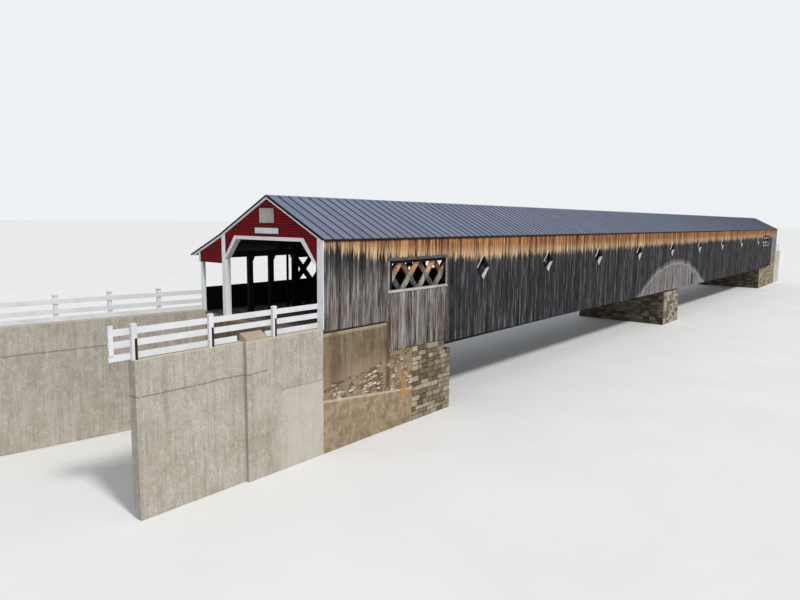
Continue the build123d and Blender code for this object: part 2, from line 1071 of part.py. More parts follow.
write("tie_beams", tie_beams())
write("rafters", rafters())
write("sidewalk_rafters", sidewalk_rafters())
write("ridge_beam", [ridge_beam()])
write("river_side_roof", [slope(near_face - near_eave_overhang, 0)])
write("sidewalk_side_roof", [slope(0, knee_y)])
write("sidewalk_roof", [slope(knee_y, sidewalk_eave)])
write("ridge_cap", [ridge_cap()])

write("wall_panels", wall_panels())
write("walls_under_openings", walls_under_openings())
write("walls_over_openings", walls_over_openings())
write("near_vestibule_wall", [near_vestibule_wall()])
write("far_vestibule_wall", [far_vestibule_wall()])
write("window_frames", window_frames())

write(
    "sidewalk_parapet",
    [
        block(
            sidewalk_end_post_size,
            bridge_length - sidewalk_end_post_size,
            sidewalk_outer_face - parapet_thickness,
            sidewalk_outer_face,
            road_level - parapet_bottom_drop,
            road_level + parapet_top_rise,
        )
    ],
)
write("sidewalk_posts", sidewalk_posts())
write("sidewalk_header", [sidewalk_header()])
write("vestibule_frames", [vestibule_frame(), mirrored_to_far_end(vestibule_frame())])

for end in ("near", "far"):
    placed = (lambda piece: piece) if end == "near" else mirrored_to_far_end
    write(end + "_gable", [placed(piece) for piece in gable()])
    write(end + "_portal_posts", [placed(piece) for piece in portal_posts()])
    write(end + "_portal_trim", [placed(portal_trim())])

write("near_fence", [near_fence()])
write("fence_steel_posts", fence_steel_posts())
write("sidewalk_fence", [sidewalk_fence()])
write("far_fences", far_fences())
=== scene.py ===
# %% [markdown]
# # A long covered timber bridge, dressed for its portrait
# The bridge stands on stone and concrete, has lattice trusses behind a boarded side,
# a road through the middle and a sidewalk under its own lean-to roof. It is a model at
# one tenth of its real size, so one real metre is 0.1 here. The solid model is loaded
# first and stays as it is. Every cell after that adds one kind of detail to it.

import json
import random
from math import cos, radians, sin

import bmesh
import bpy
from mathutils import Matrix, Vector

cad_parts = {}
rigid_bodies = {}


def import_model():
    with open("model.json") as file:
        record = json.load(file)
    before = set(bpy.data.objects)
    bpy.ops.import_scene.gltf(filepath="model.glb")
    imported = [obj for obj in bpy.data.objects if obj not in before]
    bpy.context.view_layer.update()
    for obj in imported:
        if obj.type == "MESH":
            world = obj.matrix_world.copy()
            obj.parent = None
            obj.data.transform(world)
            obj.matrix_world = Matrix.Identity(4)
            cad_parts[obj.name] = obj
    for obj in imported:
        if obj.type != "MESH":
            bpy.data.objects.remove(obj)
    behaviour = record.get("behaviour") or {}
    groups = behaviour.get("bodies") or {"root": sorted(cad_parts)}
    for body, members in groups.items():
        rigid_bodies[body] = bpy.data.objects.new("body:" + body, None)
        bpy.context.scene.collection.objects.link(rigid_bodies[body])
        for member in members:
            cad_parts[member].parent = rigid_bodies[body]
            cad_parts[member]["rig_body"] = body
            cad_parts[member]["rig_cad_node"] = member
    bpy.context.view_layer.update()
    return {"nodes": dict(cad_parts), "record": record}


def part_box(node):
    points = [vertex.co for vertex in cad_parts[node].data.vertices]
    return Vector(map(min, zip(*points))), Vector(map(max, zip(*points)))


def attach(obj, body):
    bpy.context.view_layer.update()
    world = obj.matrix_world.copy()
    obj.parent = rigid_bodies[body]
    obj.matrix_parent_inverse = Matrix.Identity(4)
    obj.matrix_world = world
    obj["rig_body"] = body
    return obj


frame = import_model()
MM = 0.001
print("nodes loaded:", len(frame["nodes"]))

# %% [markdown]
# ## The sizes that the pieces share
# A roof seam has to lie on the roof and a board on its wall, so the places below are all
# read from the boxes of the solid parts. The slopes follow from two boxes each: how far a
# roof falls, over how far it runs.

# %% Shared sizes and levels
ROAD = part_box("road_deck")[1].z
ROOF_END_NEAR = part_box("river_side_roof")[0].x
ROOF_END_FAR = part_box("river_side_roof")[1].x
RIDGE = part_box("river_side_roof")[1].z
NEAR_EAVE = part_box("river_side_roof")[0].y
NEAR_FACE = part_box("near_vestibule_wall")[0].y
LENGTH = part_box("road_deck")[1].x
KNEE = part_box("sidewalk_side_roof")[1].y
WALK_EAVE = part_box("sidewalk_roof")[1].y
KNEE_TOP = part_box("sidewalk_roof")[1].z
MAIN_SLOPE = (RIDGE - KNEE_TOP) / KNEE
SHEET = RIDGE + NEAR_EAVE * MAIN_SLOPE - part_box("river_side_roof")[0].z
WALK_SLOPE = (KNEE_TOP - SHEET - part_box("sidewalk_roof")[0].z) / (WALK_EAVE - KNEE)
WALL_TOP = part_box("near_vestibule_wall")[1].z


def roof_top(y):
    """The level of the roof's upper face at a place across the bridge."""
    if y <= KNEE:
        return RIDGE - abs(y) * MAIN_SLOPE
    return roof_top(KNEE) - (y - KNEE) * WALK_SLOPE


print("slopes", round(MAIN_SLOPE, 3), round(WALK_SLOPE, 3), "sheet", round(SHEET / MM, 1), "mm")

# %% [markdown]
# ## Working with operators
# Most of Blender's operators act on what is selected, and loading the model leaves all of
# it selected. So each piece starts by clearing the selection. A new piece is moved and
# scaled as an object, and then its place and size are applied to its mesh. That leaves
# every object at the origin, as the solid parts are.

# %% Helpers for starting a piece
def deselect():
    if bpy.context.mode != "OBJECT":
        bpy.ops.object.mode_set(mode="OBJECT")
    bpy.ops.object.select_all(action="DESELECT")


def take(piece):
    """Make one piece the only selected and active one."""
    deselect()
    piece.select_set(True)
    bpy.context.view_layer.objects.active = piece


def settle(piece):
    """Put the piece's place, turn and size into its mesh."""
    take(piece)
    bpy.ops.object.transform_apply(location=True, rotation=True, scale=True)


def start_box(name, low, high):
    """A box between two corners, from which a piece is shaped."""
    deselect()
    middle = [(a + b) / 2 for a, b in zip(low, high)]
    size = [b - a for a, b in zip(low, high)]
    bpy.ops.mesh.primitive_cube_add(size=1, location=middle, scale=size)
    piece = bpy.context.object
    piece.name = name
    piece.data.name = name
    settle(piece)
    return piece


print("helpers to start a piece are ready")

# %% [markdown]
# ## Working on faces and edges
# In edit mode an operator acts on all that is selected. So faces or edges are picked by a
# test on their place, and then moved or bevelled. The last two helpers end in object mode,
# where the next piece starts.

# %% Helpers for faces and edges
def open_mesh(piece, kind="FACE", action="DESELECT"):
    """Go to edit mode with nothing selected, or everything, to work on faces or edges."""
    take(piece)
    bpy.ops.object.mode_set(mode="EDIT")
    bpy.ops.mesh.select_mode(type=kind)
    bpy.ops.mesh.select_all(action=action)


def select_faces(piece, test):
    """Go to edit mode with only the faces selected whose middle passes the test."""
    open_mesh(piece)
    mesh = bmesh.from_edit_mesh(piece.data)
    for face in mesh.faces:
        face.select = test(face.calc_center_median())
    bmesh.update_edit_mesh(piece.data)


def select_edges(piece, test):
    """Go to edit mode with only the edges selected whose two ends pass the test."""
    open_mesh(piece, kind="EDGE")
    mesh = bmesh.from_edit_mesh(piece.data)
    for edge in mesh.edges:
        edge.select = all(test(corner.co) for corner in edge.verts)
    bmesh.update_edit_mesh(piece.data)


def move_selected(x=0.0, y=0.0, z=0.0):
    bpy.ops.transform.translate(value=(x, y, z))
    bpy.ops.object.mode_set(mode="OBJECT")


def bevel_selected(width, segments=1):
    bpy.ops.mesh.bevel(offset=width, segments=segments, affect="EDGES")
    bpy.ops.object.mode_set(mode="OBJECT")


print("helpers for faces and edges are ready")

# %% [markdown]
# ## Repeating and joining
# What repeats is modelled once. An array modifier repeats it in a straight row, and a copy
# with a mesh of its own serves where each one has its own place or size. A modifier is
# applied as soon as it is set up, so the piece is plain mesh again before the next step.

# %% Helpers for repeating and joining
def apply_modifier(piece, kind, **settings):
    """Add a modifier, set it up and apply it."""
    take(piece)
    modifier = piece.modifiers.new(kind.lower(), kind)
    for key, value in settings.items():
        setattr(modifier, key, value)
    bpy.ops.object.modifier_apply(modifier=modifier.name)


def repeat_along(piece, count, step):
    """Copy the piece in a row, with an array modifier that is applied at once."""
    apply_modifier(
        piece,
        "ARRAY",
        count=count,
        use_relative_offset=False,
        use_constant_offset=True,
        constant_offset_displace=step,
    )


def join(name, pieces):
    """Join several pieces into one."""
    deselect()
    for piece in pieces:
        piece.select_set(True)
    bpy.context.view_layer.objects.active = pieces[0]
    if len(pieces) > 1:
        bpy.ops.object.join()
    whole = bpy.context.object
    whole.name = name
    whole.data.name = name
    return whole


def copy_piece(piece, place=(0, 0, 0), size=(1, 1, 1)):
    """A copy with a mesh of its own, scaled about the origin and then moved."""
    twin = piece.copy()
    twin.data = piece.data.copy()
    bpy.context.scene.collection.objects.link(twin)
    twin.data.transform(Matrix.Translation(place) @ Matrix.Diagonal((*size, 1)))
    return twin


print("helpers for repeating and joining are ready")

# %% [markdown]
# ## What every piece carries
# A piece needs a finish and the body that it rides on.
# Some finishes also read a number from the mesh, such as the tone of a board or of a stone,
# and that is stored with its faces.

# %% Helpers for what a piece carries
def carry(piece, finish):
    """Give a piece its finish and the body that it rides on."""
    piece.data.materials.clear()
    piece.data.materials.append(finish)
    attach(piece, "root")
    return piece


def store_on_faces(mesh, name, value):
    """Store one number with every face, for a finish to read."""
    stored = mesh.attributes.new(name, "FLOAT", "FACE")
    for item in stored.data:
        item.value = value


def faces_of(piece):
    return len(piece.data.polygons)


print("helpers for what a piece carries are ready")

# %% [markdown]
# ## How a finish is built
# Each finish starts as one Principled shader. Its colour comes from noise, read at the
# point's own place on the object, so that the pattern stays where it is from any side. A
# Mapping node squeezes the noise along one axis, which turns blotches into grain or into
# rain streaks. The helpers only save typing: one adds a node, some do sums, one joins two
# colours, and one gives a smooth step from 0 to 1 between two values.

# %% Helpers for finishes
class Finish:
    """A material and short ways to add nodes to it."""

    def __init__(self, name, roughness, shine=0.5, metallic=0.0):
        self.material = bpy.data.materials.new(name)
        self.material.use_nodes = True
        self.tree = self.material.node_tree
        self.shader = self.tree.nodes["Principled BSDF"]
        self.shader.inputs["Roughness"].default_value = roughness
        self.shader.inputs["Specular IOR Level"].default_value = shine
        self.shader.inputs["Metallic"].default_value = metallic
        self.place = self.node("ShaderNodeTexCoord").outputs["Object"]
        split = self.node("ShaderNodeSeparateXYZ", Vector=self.place)
        self.x, self.y, self.z = split.outputs

    def node(self, kind, settings=None, **inputs):
        added = self.tree.nodes.new(kind)
        for key, value in (settings or {}).items():
            setattr(added, key, value)
        for key, value in inputs.items():
            self.plug(value, added.inputs[key.replace("_", " ")])
        return added

    def plug(self, value, socket):
        if isinstance(value, bpy.types.NodeSocket):
            self.tree.links.new(value, socket)
        else:
            socket.default_value = value

    def math(self, operation, first, second=0.0, third=0.0):
        added = self.tree.nodes.new("ShaderNodeMath")
        added.operation = operation
        for value, socket in zip((first, second, third), added.inputs):
            self.plug(value, socket)
        return added.outputs[0]

    def times(self, first, second):
        return self.math("MULTIPLY", first, second)

    def plus(self, first, second):
        return self.math("ADD", first, second)

    def minus(self, first, second):
        return self.math("SUBTRACT", first, second)

    def times_plus(self, value, factor, added):
        return self.math("MULTIPLY_ADD", value, factor, added)

    def away(self, value, place):
        """How far a value is from a place, on either side."""
        return self.math("ABSOLUTE", self.minus(value, place))

    def swing(self, noise, amount, base):
        """A base that noise pushes up and down by half the amount at most."""
        return self.times_plus(self.minus(noise, 0.5), amount, base)

    def step(self, value, low, high):
        """A smooth rise from 0 at low to 1 at high."""
        added = self.node(
            "ShaderNodeMapRange", {"interpolation_type": "SMOOTHSTEP", "clamp": True}
        )
        for number, socket in zip((value, low, high, 0.0, 1.0), added.inputs):
            self.plug(number, socket)
        return added.outputs[0]

    def noise(self, scale, squeeze=(1, 1, 1), detail=4.0, roughness=0.55, shift=(0, 0, 0)):
        """Noise with a number of waves per metre, squeezed along the axes."""
        mapped = self.node("ShaderNodeMapping", Vector=self.place, Scale=squeeze, Location=shift)
        pattern = self.node(
            "ShaderNodeTexNoise",
            Vector=mapped.outputs[0],
            Scale=scale,
            Detail=detail,
            Roughness=roughness,
        )
        return pattern.outputs["Fac"]

    def ramp(self, value, *stops):
        """Colours along a value, each stop a place and a colour."""
        added = self.node("ShaderNodeValToRGB", Fac=value)
        points = added.color_ramp.elements
        while len(points) < len(stops):
            points.new(0.5)
        for point, (place, colour) in zip(points, stops):
            point.position = place
            point.color = (*colour, 1)
        return added.outputs[0]

    def mix(self, share, first, second, blend="MIX"):
        """Two colours joined by a share from 0 to 1."""
        added = self.node("ShaderNodeMix", {"data_type": "RGBA", "blend_type": blend})
        for value, socket in zip(
            (share, first, second), (added.inputs[0], added.inputs[6], added.inputs[7])
        ):
            if isinstance(value, tuple):
                value = (*value, 1)
            self.plug(value, socket)
        return added.outputs[2]

    def stored(self, name):
        """A number that is stored with each face of the mesh."""
        return self.node("ShaderNodeAttribute", {"attribute_name": name}).outputs["Fac"]

    def chance(self, value):
        """A random number for each whole number of a value."""
        added = self.node("ShaderNodeTexWhiteNoise", {"noise_dimensions": "1D"}, W=value)
        return added.outputs["Value"]

    def colour(self, value):
        self.plug(value, self.shader.inputs["Base Color"])

    def bump(self, height, distance, strength=1.0):
        added = self.node(
            "ShaderNodeBump", Height=height, Distance=distance, Strength=strength
        )
        self.tree.links.new(added.outputs[0], self.shader.inputs["Normal"])


print("finish helpers ready")

# %% [markdown]
# ## The band under the eave
# The eave keeps a band of the old boards dry, and they stay tan there. The band is narrow
# at the gable and soon reaches its full width. Its lower edge is a fringe, because the same
# streaks that colour the boards push it up and down. Two colour ramps share the band,
# orange above and cream along the fringe. Its uppermost part lies in the sheets' shadow.

# %% The dry band
BAND_WIDTH = 123 * MM
BAND_NARROWER = 95 * MM
LEFT_AFTER_A_METRE = 0.108


def dry_band(finish, aged, streaks, fine, tone):
    """Lay the dry band over the aged boards."""
    grain = finish.times_plus(fine, 0.40, finish.times(streaks, 0.60))
    grain = finish.swing(tone, 0.10, grain)
    orange = finish.ramp(
        grain,
        (0.41, (0.036, 0.012, 0.005)),
        (0.47, (0.155, 0.054, 0.018)),
        (0.53, (0.320, 0.130, 0.046)),
        (0.62, (0.540, 0.300, 0.130)),
    )
    cream = finish.ramp(
        grain,
        (0.41, (0.055, 0.036, 0.026)),
        (0.47, (0.240, 0.145, 0.078)),
        (0.53, (0.460, 0.300, 0.160)),
        (0.62, (0.700, 0.540, 0.350)),
    )
    narrowing = finish.math("POWER", LEFT_AFTER_A_METRE, finish.x)
    width = finish.times_plus(narrowing, -BAND_NARROWER, BAND_WIDTH)
    ragged = finish.swing(streaks, 0.12, finish.z)
    ragged = finish.swing(fine, 0.13, ragged)
    ragged = finish.swing(tone, 0.02, ragged)
    height = finish.minus(ragged, finish.minus(WALL_TOP, width))
    tan = finish.mix(finish.step(height, 0.018, 0.075), cream, orange)
    dried = finish.mix(finish.step(height, -0.020, 0.018), aged, tan)
    shade = finish.times(finish.step(finish.z, WALL_TOP - 0.024, WALL_TOP - 0.004), 0.55)
    return finish.mix(shade, dried, (0.045, 0.018, 0.008))


print("band width at the gable:", round((BAND_WIDTH - BAND_NARROWER) / MM), "mm")

# %% [markdown]
# ## The arch over the pier
# Spray at the pier has bleached an arch into the river side's boards, with a paler rim. Its
# line is a parabola that noise makes wavy. All that the colours need is how far a point
# lies above that line. The sidewalk's boards have no arch, so there the distance is made
# too large for any of it.

# %% The bleached arch
ARCH_MIDDLE = 5.28
ARCH_HALF_WIDTH = 1.12
ARCH_RISE = 275 * MM
ARCH_FOOT = ROAD - 205 * MM


def bleached_arch(finish, aged, sprayed):
    """Lay the arch over the aged boards."""
    across = finish.math("DIVIDE", finish.minus(finish.x, ARCH_MIDDLE), ARCH_HALF_WIDTH)
    crown = finish.minus(1.0, finish.times(across, across))
    level = finish.times_plus(crown, ARCH_RISE, ARCH_FOOT)
    wavy = finish.swing(finish.noise(9, (1, 1, 0), detail=2), 0.09, level)
    on_sidewalk_side = finish.step(finish.y, -0.05, 0.05)
    above = finish.plus(finish.minus(finish.z, wavy), on_sidewalk_side)
    inside = finish.times(finish.step(above, 0.006, -0.004), 0.90)
    halo = finish.times(finish.step(above, 0.065, 0.010), 0.72)
    rim = finish.times(finish.step(finish.away(above, 0.0), 0.012, 0.002), 0.50)
    arch = finish.mix(finish.math("MAXIMUM", inside, halo), aged, sprayed)
    return finish.mix(rim, arch, (0.40, 0.38, 0.37))


print("the arch spans", 2 * ARCH_HALF_WIDTH, "m at its foot")

# %% [markdown]
# ## Old boards
# Boards that were never painted turn dark grey, nearly black where the wall stays damp.
# Rain splashed up from below bleaches the boards near the portal to a warm pale grey, and
# those at the far end are sprayed pale as well. Each board ages in its own way, so every
# tone starts from a number that is stored with each board's faces. Long streaks are laid
# over it, from noise that is squeezed until it runs from top to bottom.

# %% How the boards age
def board_value(finish, tone, streaks, fine):
    """From dark to light: streaks, each board's own tone, fine grain and broad panels."""
    panels = finish.noise(16, (1.0, 1.0, 0.12), detail=4, shift=(0.7, 0, 0))
    value = finish.swing(streaks, 2.1, 0.5)
    value = finish.swing(tone, 0.34, value)
    value = finish.swing(fine, 1.7, value)
    return finish.swing(panels, 0.45, value)


def bleached_by_rain(finish, value):
    """Warm pale grey, with browner patches low down."""
    pale = finish.ramp(
        value,
        (0.05, (0.018, 0.014, 0.012)),
        (0.40, (0.102, 0.091, 0.086)),
        (0.65, (0.205, 0.188, 0.178)),
        (0.95, (0.370, 0.355, 0.340)),
    )
    patches = finish.noise(6, (1.0, 1.0, 0.5), detail=5, shift=(1.3, 0, 4.0))
    low_down = finish.step(finish.z, ROAD + 0.15, ROAD + 0.08)
    browner = finish.times(finish.times(finish.step(patches, 0.44, 0.58), low_down), 0.7)
    return finish.mix(browner, pale, (0.88, 0.74, 0.63), blend="MULTIPLY")


print("the tones of the old boards are ready")

# %% [markdown]
# ## All layers of the old boards
# One layer goes over another: dark boards first, the bleached ones near the portal, the
# sprayed ones at the far end, and the arch. Then painted shade turns two places nearly
# black: a narrow slit beside the pier, and a shadow line along the feet of the first boards.
# The dry band is last.

# %% The finish of the weathered boards
BOARDS_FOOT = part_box("near_vestibule_wall")[0].z
FIRST_BOARDS_END = 425 * MM
SLIT_MIDDLE = 5.945


def weathered_boards():
    finish = Finish("weathered_boards", roughness=0.9, shine=0.2)
    tone = finish.stored("board_tone")
    streaks = finish.noise(78, (1.0, 1.0, 0.050), detail=5, roughness=0.70)
    fine = finish.noise(230, (1.0, 1.0, 0.045), detail=3, roughness=0.60)
    value = board_value(finish, tone, streaks, fine)
    dark = finish.ramp(
        value,
        (0.08, (0.004, 0.004, 0.005)),
        (0.45, (0.018, 0.017, 0.021)),
        (0.75, (0.048, 0.046, 0.052)),
        (1.00, (0.170, 0.163, 0.166)),
    )
    sprayed = finish.ramp(
        value,
        (0.05, (0.070, 0.064, 0.064)),
        (0.40, (0.150, 0.138, 0.136)),
        (0.65, (0.235, 0.218, 0.214)),
        (0.95, (0.360, 0.340, 0.335)),
    )
    clouds = finish.noise(2.4, (1.0, 1.0, 0.7), detail=4, shift=(3.1, 0, 0))
    low = finish.step(finish.swing(clouds, 0.16, finish.z), ROAD + 0.345, ROAD + 0.120)
    near = finish.step(finish.swing(clouds, 0.12, finish.x), 1.01, 0.93)
    far_end = finish.step(finish.x, LENGTH - 0.44, LENGTH - 0.40)
    aged = finish.mix(finish.times(low, near), dark, bleached_by_rain(finish, value))
    aged = finish.mix(far_end, aged, sprayed)
    aged = bleached_arch(finish, aged, sprayed)
    # Painted shade: a narrow slit beside the pier, below the road, is drawn nearly black.
    slit_shade = finish.times(
        finish.step(finish.away(finish.x, SLIT_MIDDLE), 0.034, 0.022),
        finish.step(finish.z, ROAD - 0.07, ROAD - 0.09),
    )
    slit_shade = finish.times(slit_shade, finish.step(finish.y, 0.05, -0.05))
    aged = finish.mix(finish.times(slit_shade, 0.95), aged, (0.004, 0.004, 0.005))
    # Painted shadow: a near-black line along the feet of the first boards, where they hang over
    # the abutment.
    foot_shadow = finish.times(
        finish.step(finish.z, BOARDS_FOOT + 0.012, BOARDS_FOOT + 0.007),
        finish.step(finish.x, FIRST_BOARDS_END + 0.005, FIRST_BOARDS_END - 0.005),
    )
    aged = finish.mix(finish.times(foot_shadow, 0.9), aged, (0.010, 0.009, 0.009))
    finish.colour(dry_band(finish, aged, streaks, fine, tone))
    finish.bump(fine, 0.0008, 0.5)
    return finish.material


BOARD_FINISH = weathered_boards()
print("finish:", BOARD_FINISH.name)

# %% [markdown]
# ## Between the boards
# The boards are laid on the solid wall, which only shows as a dark line between two of
# them, where shade falls. So that wall gets a finish of its own that is nearly black, as
# painted shade.

# %% The finish of the painted shade between boards
def shade_between_boards():
    finish = Finish("painted_shade_between_boards", roughness=0.95, shine=0.1)
    grain = finish.noise(60, (1, 1, 0.1), detail=3)
    finish.colour(finish.ramp(grain, (0.3, (0.006, 0.005, 0.005)), (0.7, (0.020, 0.017, 0.015))))
    return finish.material


SHADE_BETWEEN_BOARDS = shade_between_boards()
print("finish:", SHADE_BETWEEN_BOARDS.name)

# %% [markdown]
# ## Painted boards
# The gables are deep red and the trim, the posts and the fences are white. Old paint is
# never one colour: it is dusty in places, thin along the grain and dirty near the ground.
# One function makes every paint from a clean colour and its dirtier sister.

# %% The finishes of the painted boards
LAP = 12 * MM


def paint(name, clean, dirty, grain, amount, roughness=0.6, lap=None):
    """Weathered paint. With a lap, a painted shadow darkens the lower edge of each lapped board.
    """
    finish = Finish(name, roughness, shine=0.10)
    blotches = finish.noise(14, detail=5)
    fibres = finish.noise(260, grain, detail=3)
    colour = finish.mix(finish.times(finish.step(blotches, 0.42, 0.75), amount), clean, dirty)
    colour = finish.mix(finish.times(finish.step(fibres, 0.60, 0.80), 0.35), colour, dirty)
    if lap:
        board = finish.math("DIVIDE", finish.z, lap)
        worn = finish.times(finish.chance(finish.math("FLOOR", board)), 0.45)
        colour = finish.mix(worn, colour, dirty)
        # Painted shadow: the lower edge of each lapped board is darkened as the lap's shadow.
        under = finish.times(finish.step(finish.math("FRACT", board), 0.42, 0.12), 0.95)
        colour = finish.mix(under, colour, tuple(part * 0.15 for part in clean))
    finish.colour(colour)
    finish.bump(fibres, 0.0004, 0.35)
    return finish.material


RED_PAINT = paint(
    "red_paint", (0.250, 0.005, 0.008), (0.140, 0.004, 0.006), (1, 0.05, 1), 0.5, lap=LAP
)
WHITE_PAINT = paint("white_paint", (0.68, 0.69, 0.72), (0.45, 0.44, 0.43), (0.1, 0.1, 1), 0.35)
TRIM_PAINT = paint("trim_paint", (0.79, 0.80, 0.83), (0.52, 0.52, 0.51), (1, 0.2, 0.2), 0.35)
POST_PAINT = paint("post_paint", (0.86, 0.88, 0.91), (0.60, 0.60, 0.60), (1, 1, 0.05), 0.35)
print("finishes:", RED_PAINT.name, WHITE_PAINT.name, TRIM_PAINT.name, POST_PAINT.name)

# %% [markdown]
# ## Concrete
# Old concrete is cloudy, speckled and streaked by rain. A class of its own starts with
# those three and remembers what is shown so far, so that joints, stains and bare stones can
# be drawn over it one after another, as they came over the real wall.

# %% Rain-streaked concrete
class Concrete(Finish):
    """Rain-streaked concrete, on which joints, stains and bare stones are drawn later."""

    def __init__(self, name, pale, dark, stain, streaking):
        super().__init__(name, roughness=0.95, shine=0.2)
        self.stain = stain
        clouds = self.noise(9, detail=9, roughness=0.72)
        runs = self.noise(34, (1, 1, 0.06), detail=6, roughness=0.65)
        hairs = self.noise(150, (1, 1, 0.05), detail=4, roughness=0.6)
        self.specks = self.noise(170, detail=6, roughness=0.7)
        self.shown = self.mix(self.step(clouds, 0.35, 0.68), pale, dark)
        self.over(self.step(self.specks, 0.47, 0.70), stain, 0.60)
        self.over(self.step(runs, 0.44, 0.74), stain, streaking)
        self.over(self.step(hairs, 0.46, 0.70), stain, streaking * 0.9)
        self.bump(self.specks, 0.0018, 0.7)

    def over(self, share, colour, strength=1.0):
        """Draw a colour over what is shown so far."""
        self.shown = self.mix(self.times(share, strength), self.shown, colour)

    def between(self, value, low, high, soft):
        """One between low and high, and nothing outside them, with soft edges."""
        rise = self.step(value, low - soft, low + soft)
        fall = self.step(value, high + soft, high - soft)
        return self.times(rise, fall)

    def pour_joint(self, level, x_low, x_high):
        """The dark line where one day's concrete ended and the next day's began."""
        wander = self.times_plus(self.noise(4, (1, 1, 0)), 0.02, level - 0.01)
        line = self.step(self.away(self.z, wander), 0.0045, 0.0015)
        self.over(self.times(line, self.between(self.x, x_low, x_high, 0.012)), self.stain, 0.85)

    def done(self):
        self.colour(self.shown)
        return self.material


print("concrete helper ready")

# %% [markdown]
# ## The walls beside the road
# These walls are pale. They were poured in lifts, whose joints show as two dark lines, and
# the lower lift near the portal is newer and lighter. The upper edge is tinted warm, and so
# is the raised block on top of the wall.

# %% The finish of the wall concrete
UPPER_JOINT = ROAD - 121 * MM
LOWER_JOINT = ROAD - 217 * MM


def wall_concrete():
    finish = Concrete(
        "pale_wall_concrete",
        pale=(0.490, 0.455, 0.400),
        dark=(0.380, 0.345, 0.285),
        stain=(0.200, 0.175, 0.135),
        streaking=0.42,
    )
    finish.pour_joint(UPPER_JOINT, x_low=-2.0, x_high=-0.315)
    finish.pour_joint(LOWER_JOINT, x_low=-0.250, x_high=0.0)
    patches = finish.noise(52, (1, 1, 0.8), detail=5, roughness=0.65)
    finish.over(finish.step(patches, 0.53, 0.64), (0.58, 0.55, 0.49), 0.35)
    newer = finish.times(
        finish.step(finish.z, LOWER_JOINT + 0.007, LOWER_JOINT - 0.009),
        finish.step(finish.x, -0.30, -0.20),
    )
    finish.over(newer, (0.56, 0.53, 0.47), 0.45)
    upper_edge = finish.step(finish.z, ROAD + 0.006, ROAD + 0.0115)
    finish.over(upper_edge, (0.60, 0.55, 0.45), 0.6)
    raised_block = finish.step(finish.z, ROAD + 0.0125, ROAD + 0.0135)
    finish.over(raised_block, (0.36, 0.28, 0.20), 0.75)
    return finish.done()


WALL_CONCRETE = wall_concrete()
print("finish:", WALL_CONCRETE.name)

# %% [markdown]
# ## Stones behind the plaster
# Where plaster has fallen off, small rough stones show in the same face. They are too flat
# to model, so a Voronoi pattern draws them, with cells as wide as the stones. A second one
# of the same scale gives each stone its tone.

# %% The stones behind the plaster
STONES_PER_METRE = 56.0


def rubble_colour(finish):
    """Stones with dark joints, each stone in a tone of its own."""
    squeezed = finish.node("ShaderNodeMapping", Vector=finish.place, Scale=(0.5, 1.0, 1.7))
    pattern = {"Vector": squeezed.outputs[0], "Scale": STONES_PER_METRE}
    edges = finish.node("ShaderNodeTexVoronoi", {"feature": "DISTANCE_TO_EDGE"}, **pattern)
    cells = edges.outputs["Distance"]
    tones = finish.node("ShaderNodeTexVoronoi", **pattern)
    tone = finish.node("ShaderNodeSeparateColor", Color=tones.outputs["Color"]).outputs[0]
    stone = finish.ramp(
        tone, (0.0, (0.13, 0.09, 0.05)), (0.55, (0.28, 0.20, 0.13)), (1.0, (0.68, 0.58, 0.45))
    )
    rough_cells = finish.plus(cells, finish.times_plus(finish.specks, 0.30, -0.15))
    joints = finish.times(finish.step(rough_cells, 0.15, 0.03), 0.85)
    return finish.mix(joints, stone, (0.060, 0.042, 0.026))


print(STONES_PER_METRE, "stones to the metre")

# %% [markdown]
# ## The abutment
# The abutment is older and browner than the walls, and its streaks are darker. Near its
# foot the plaster has fallen off along a rising line, and the stones show. Below that a
# pale ledge tops the rough face of the footing, and lichen grows beside the corner.

# %% The finish of the abutment's concrete
PLASTER_EDGE = ROAD - 235 * MM
PLASTER_EDGE_SLOPE = 0.16
LEDGE = ROAD - 322 * MM
LEDGE_SLOPE = -0.10


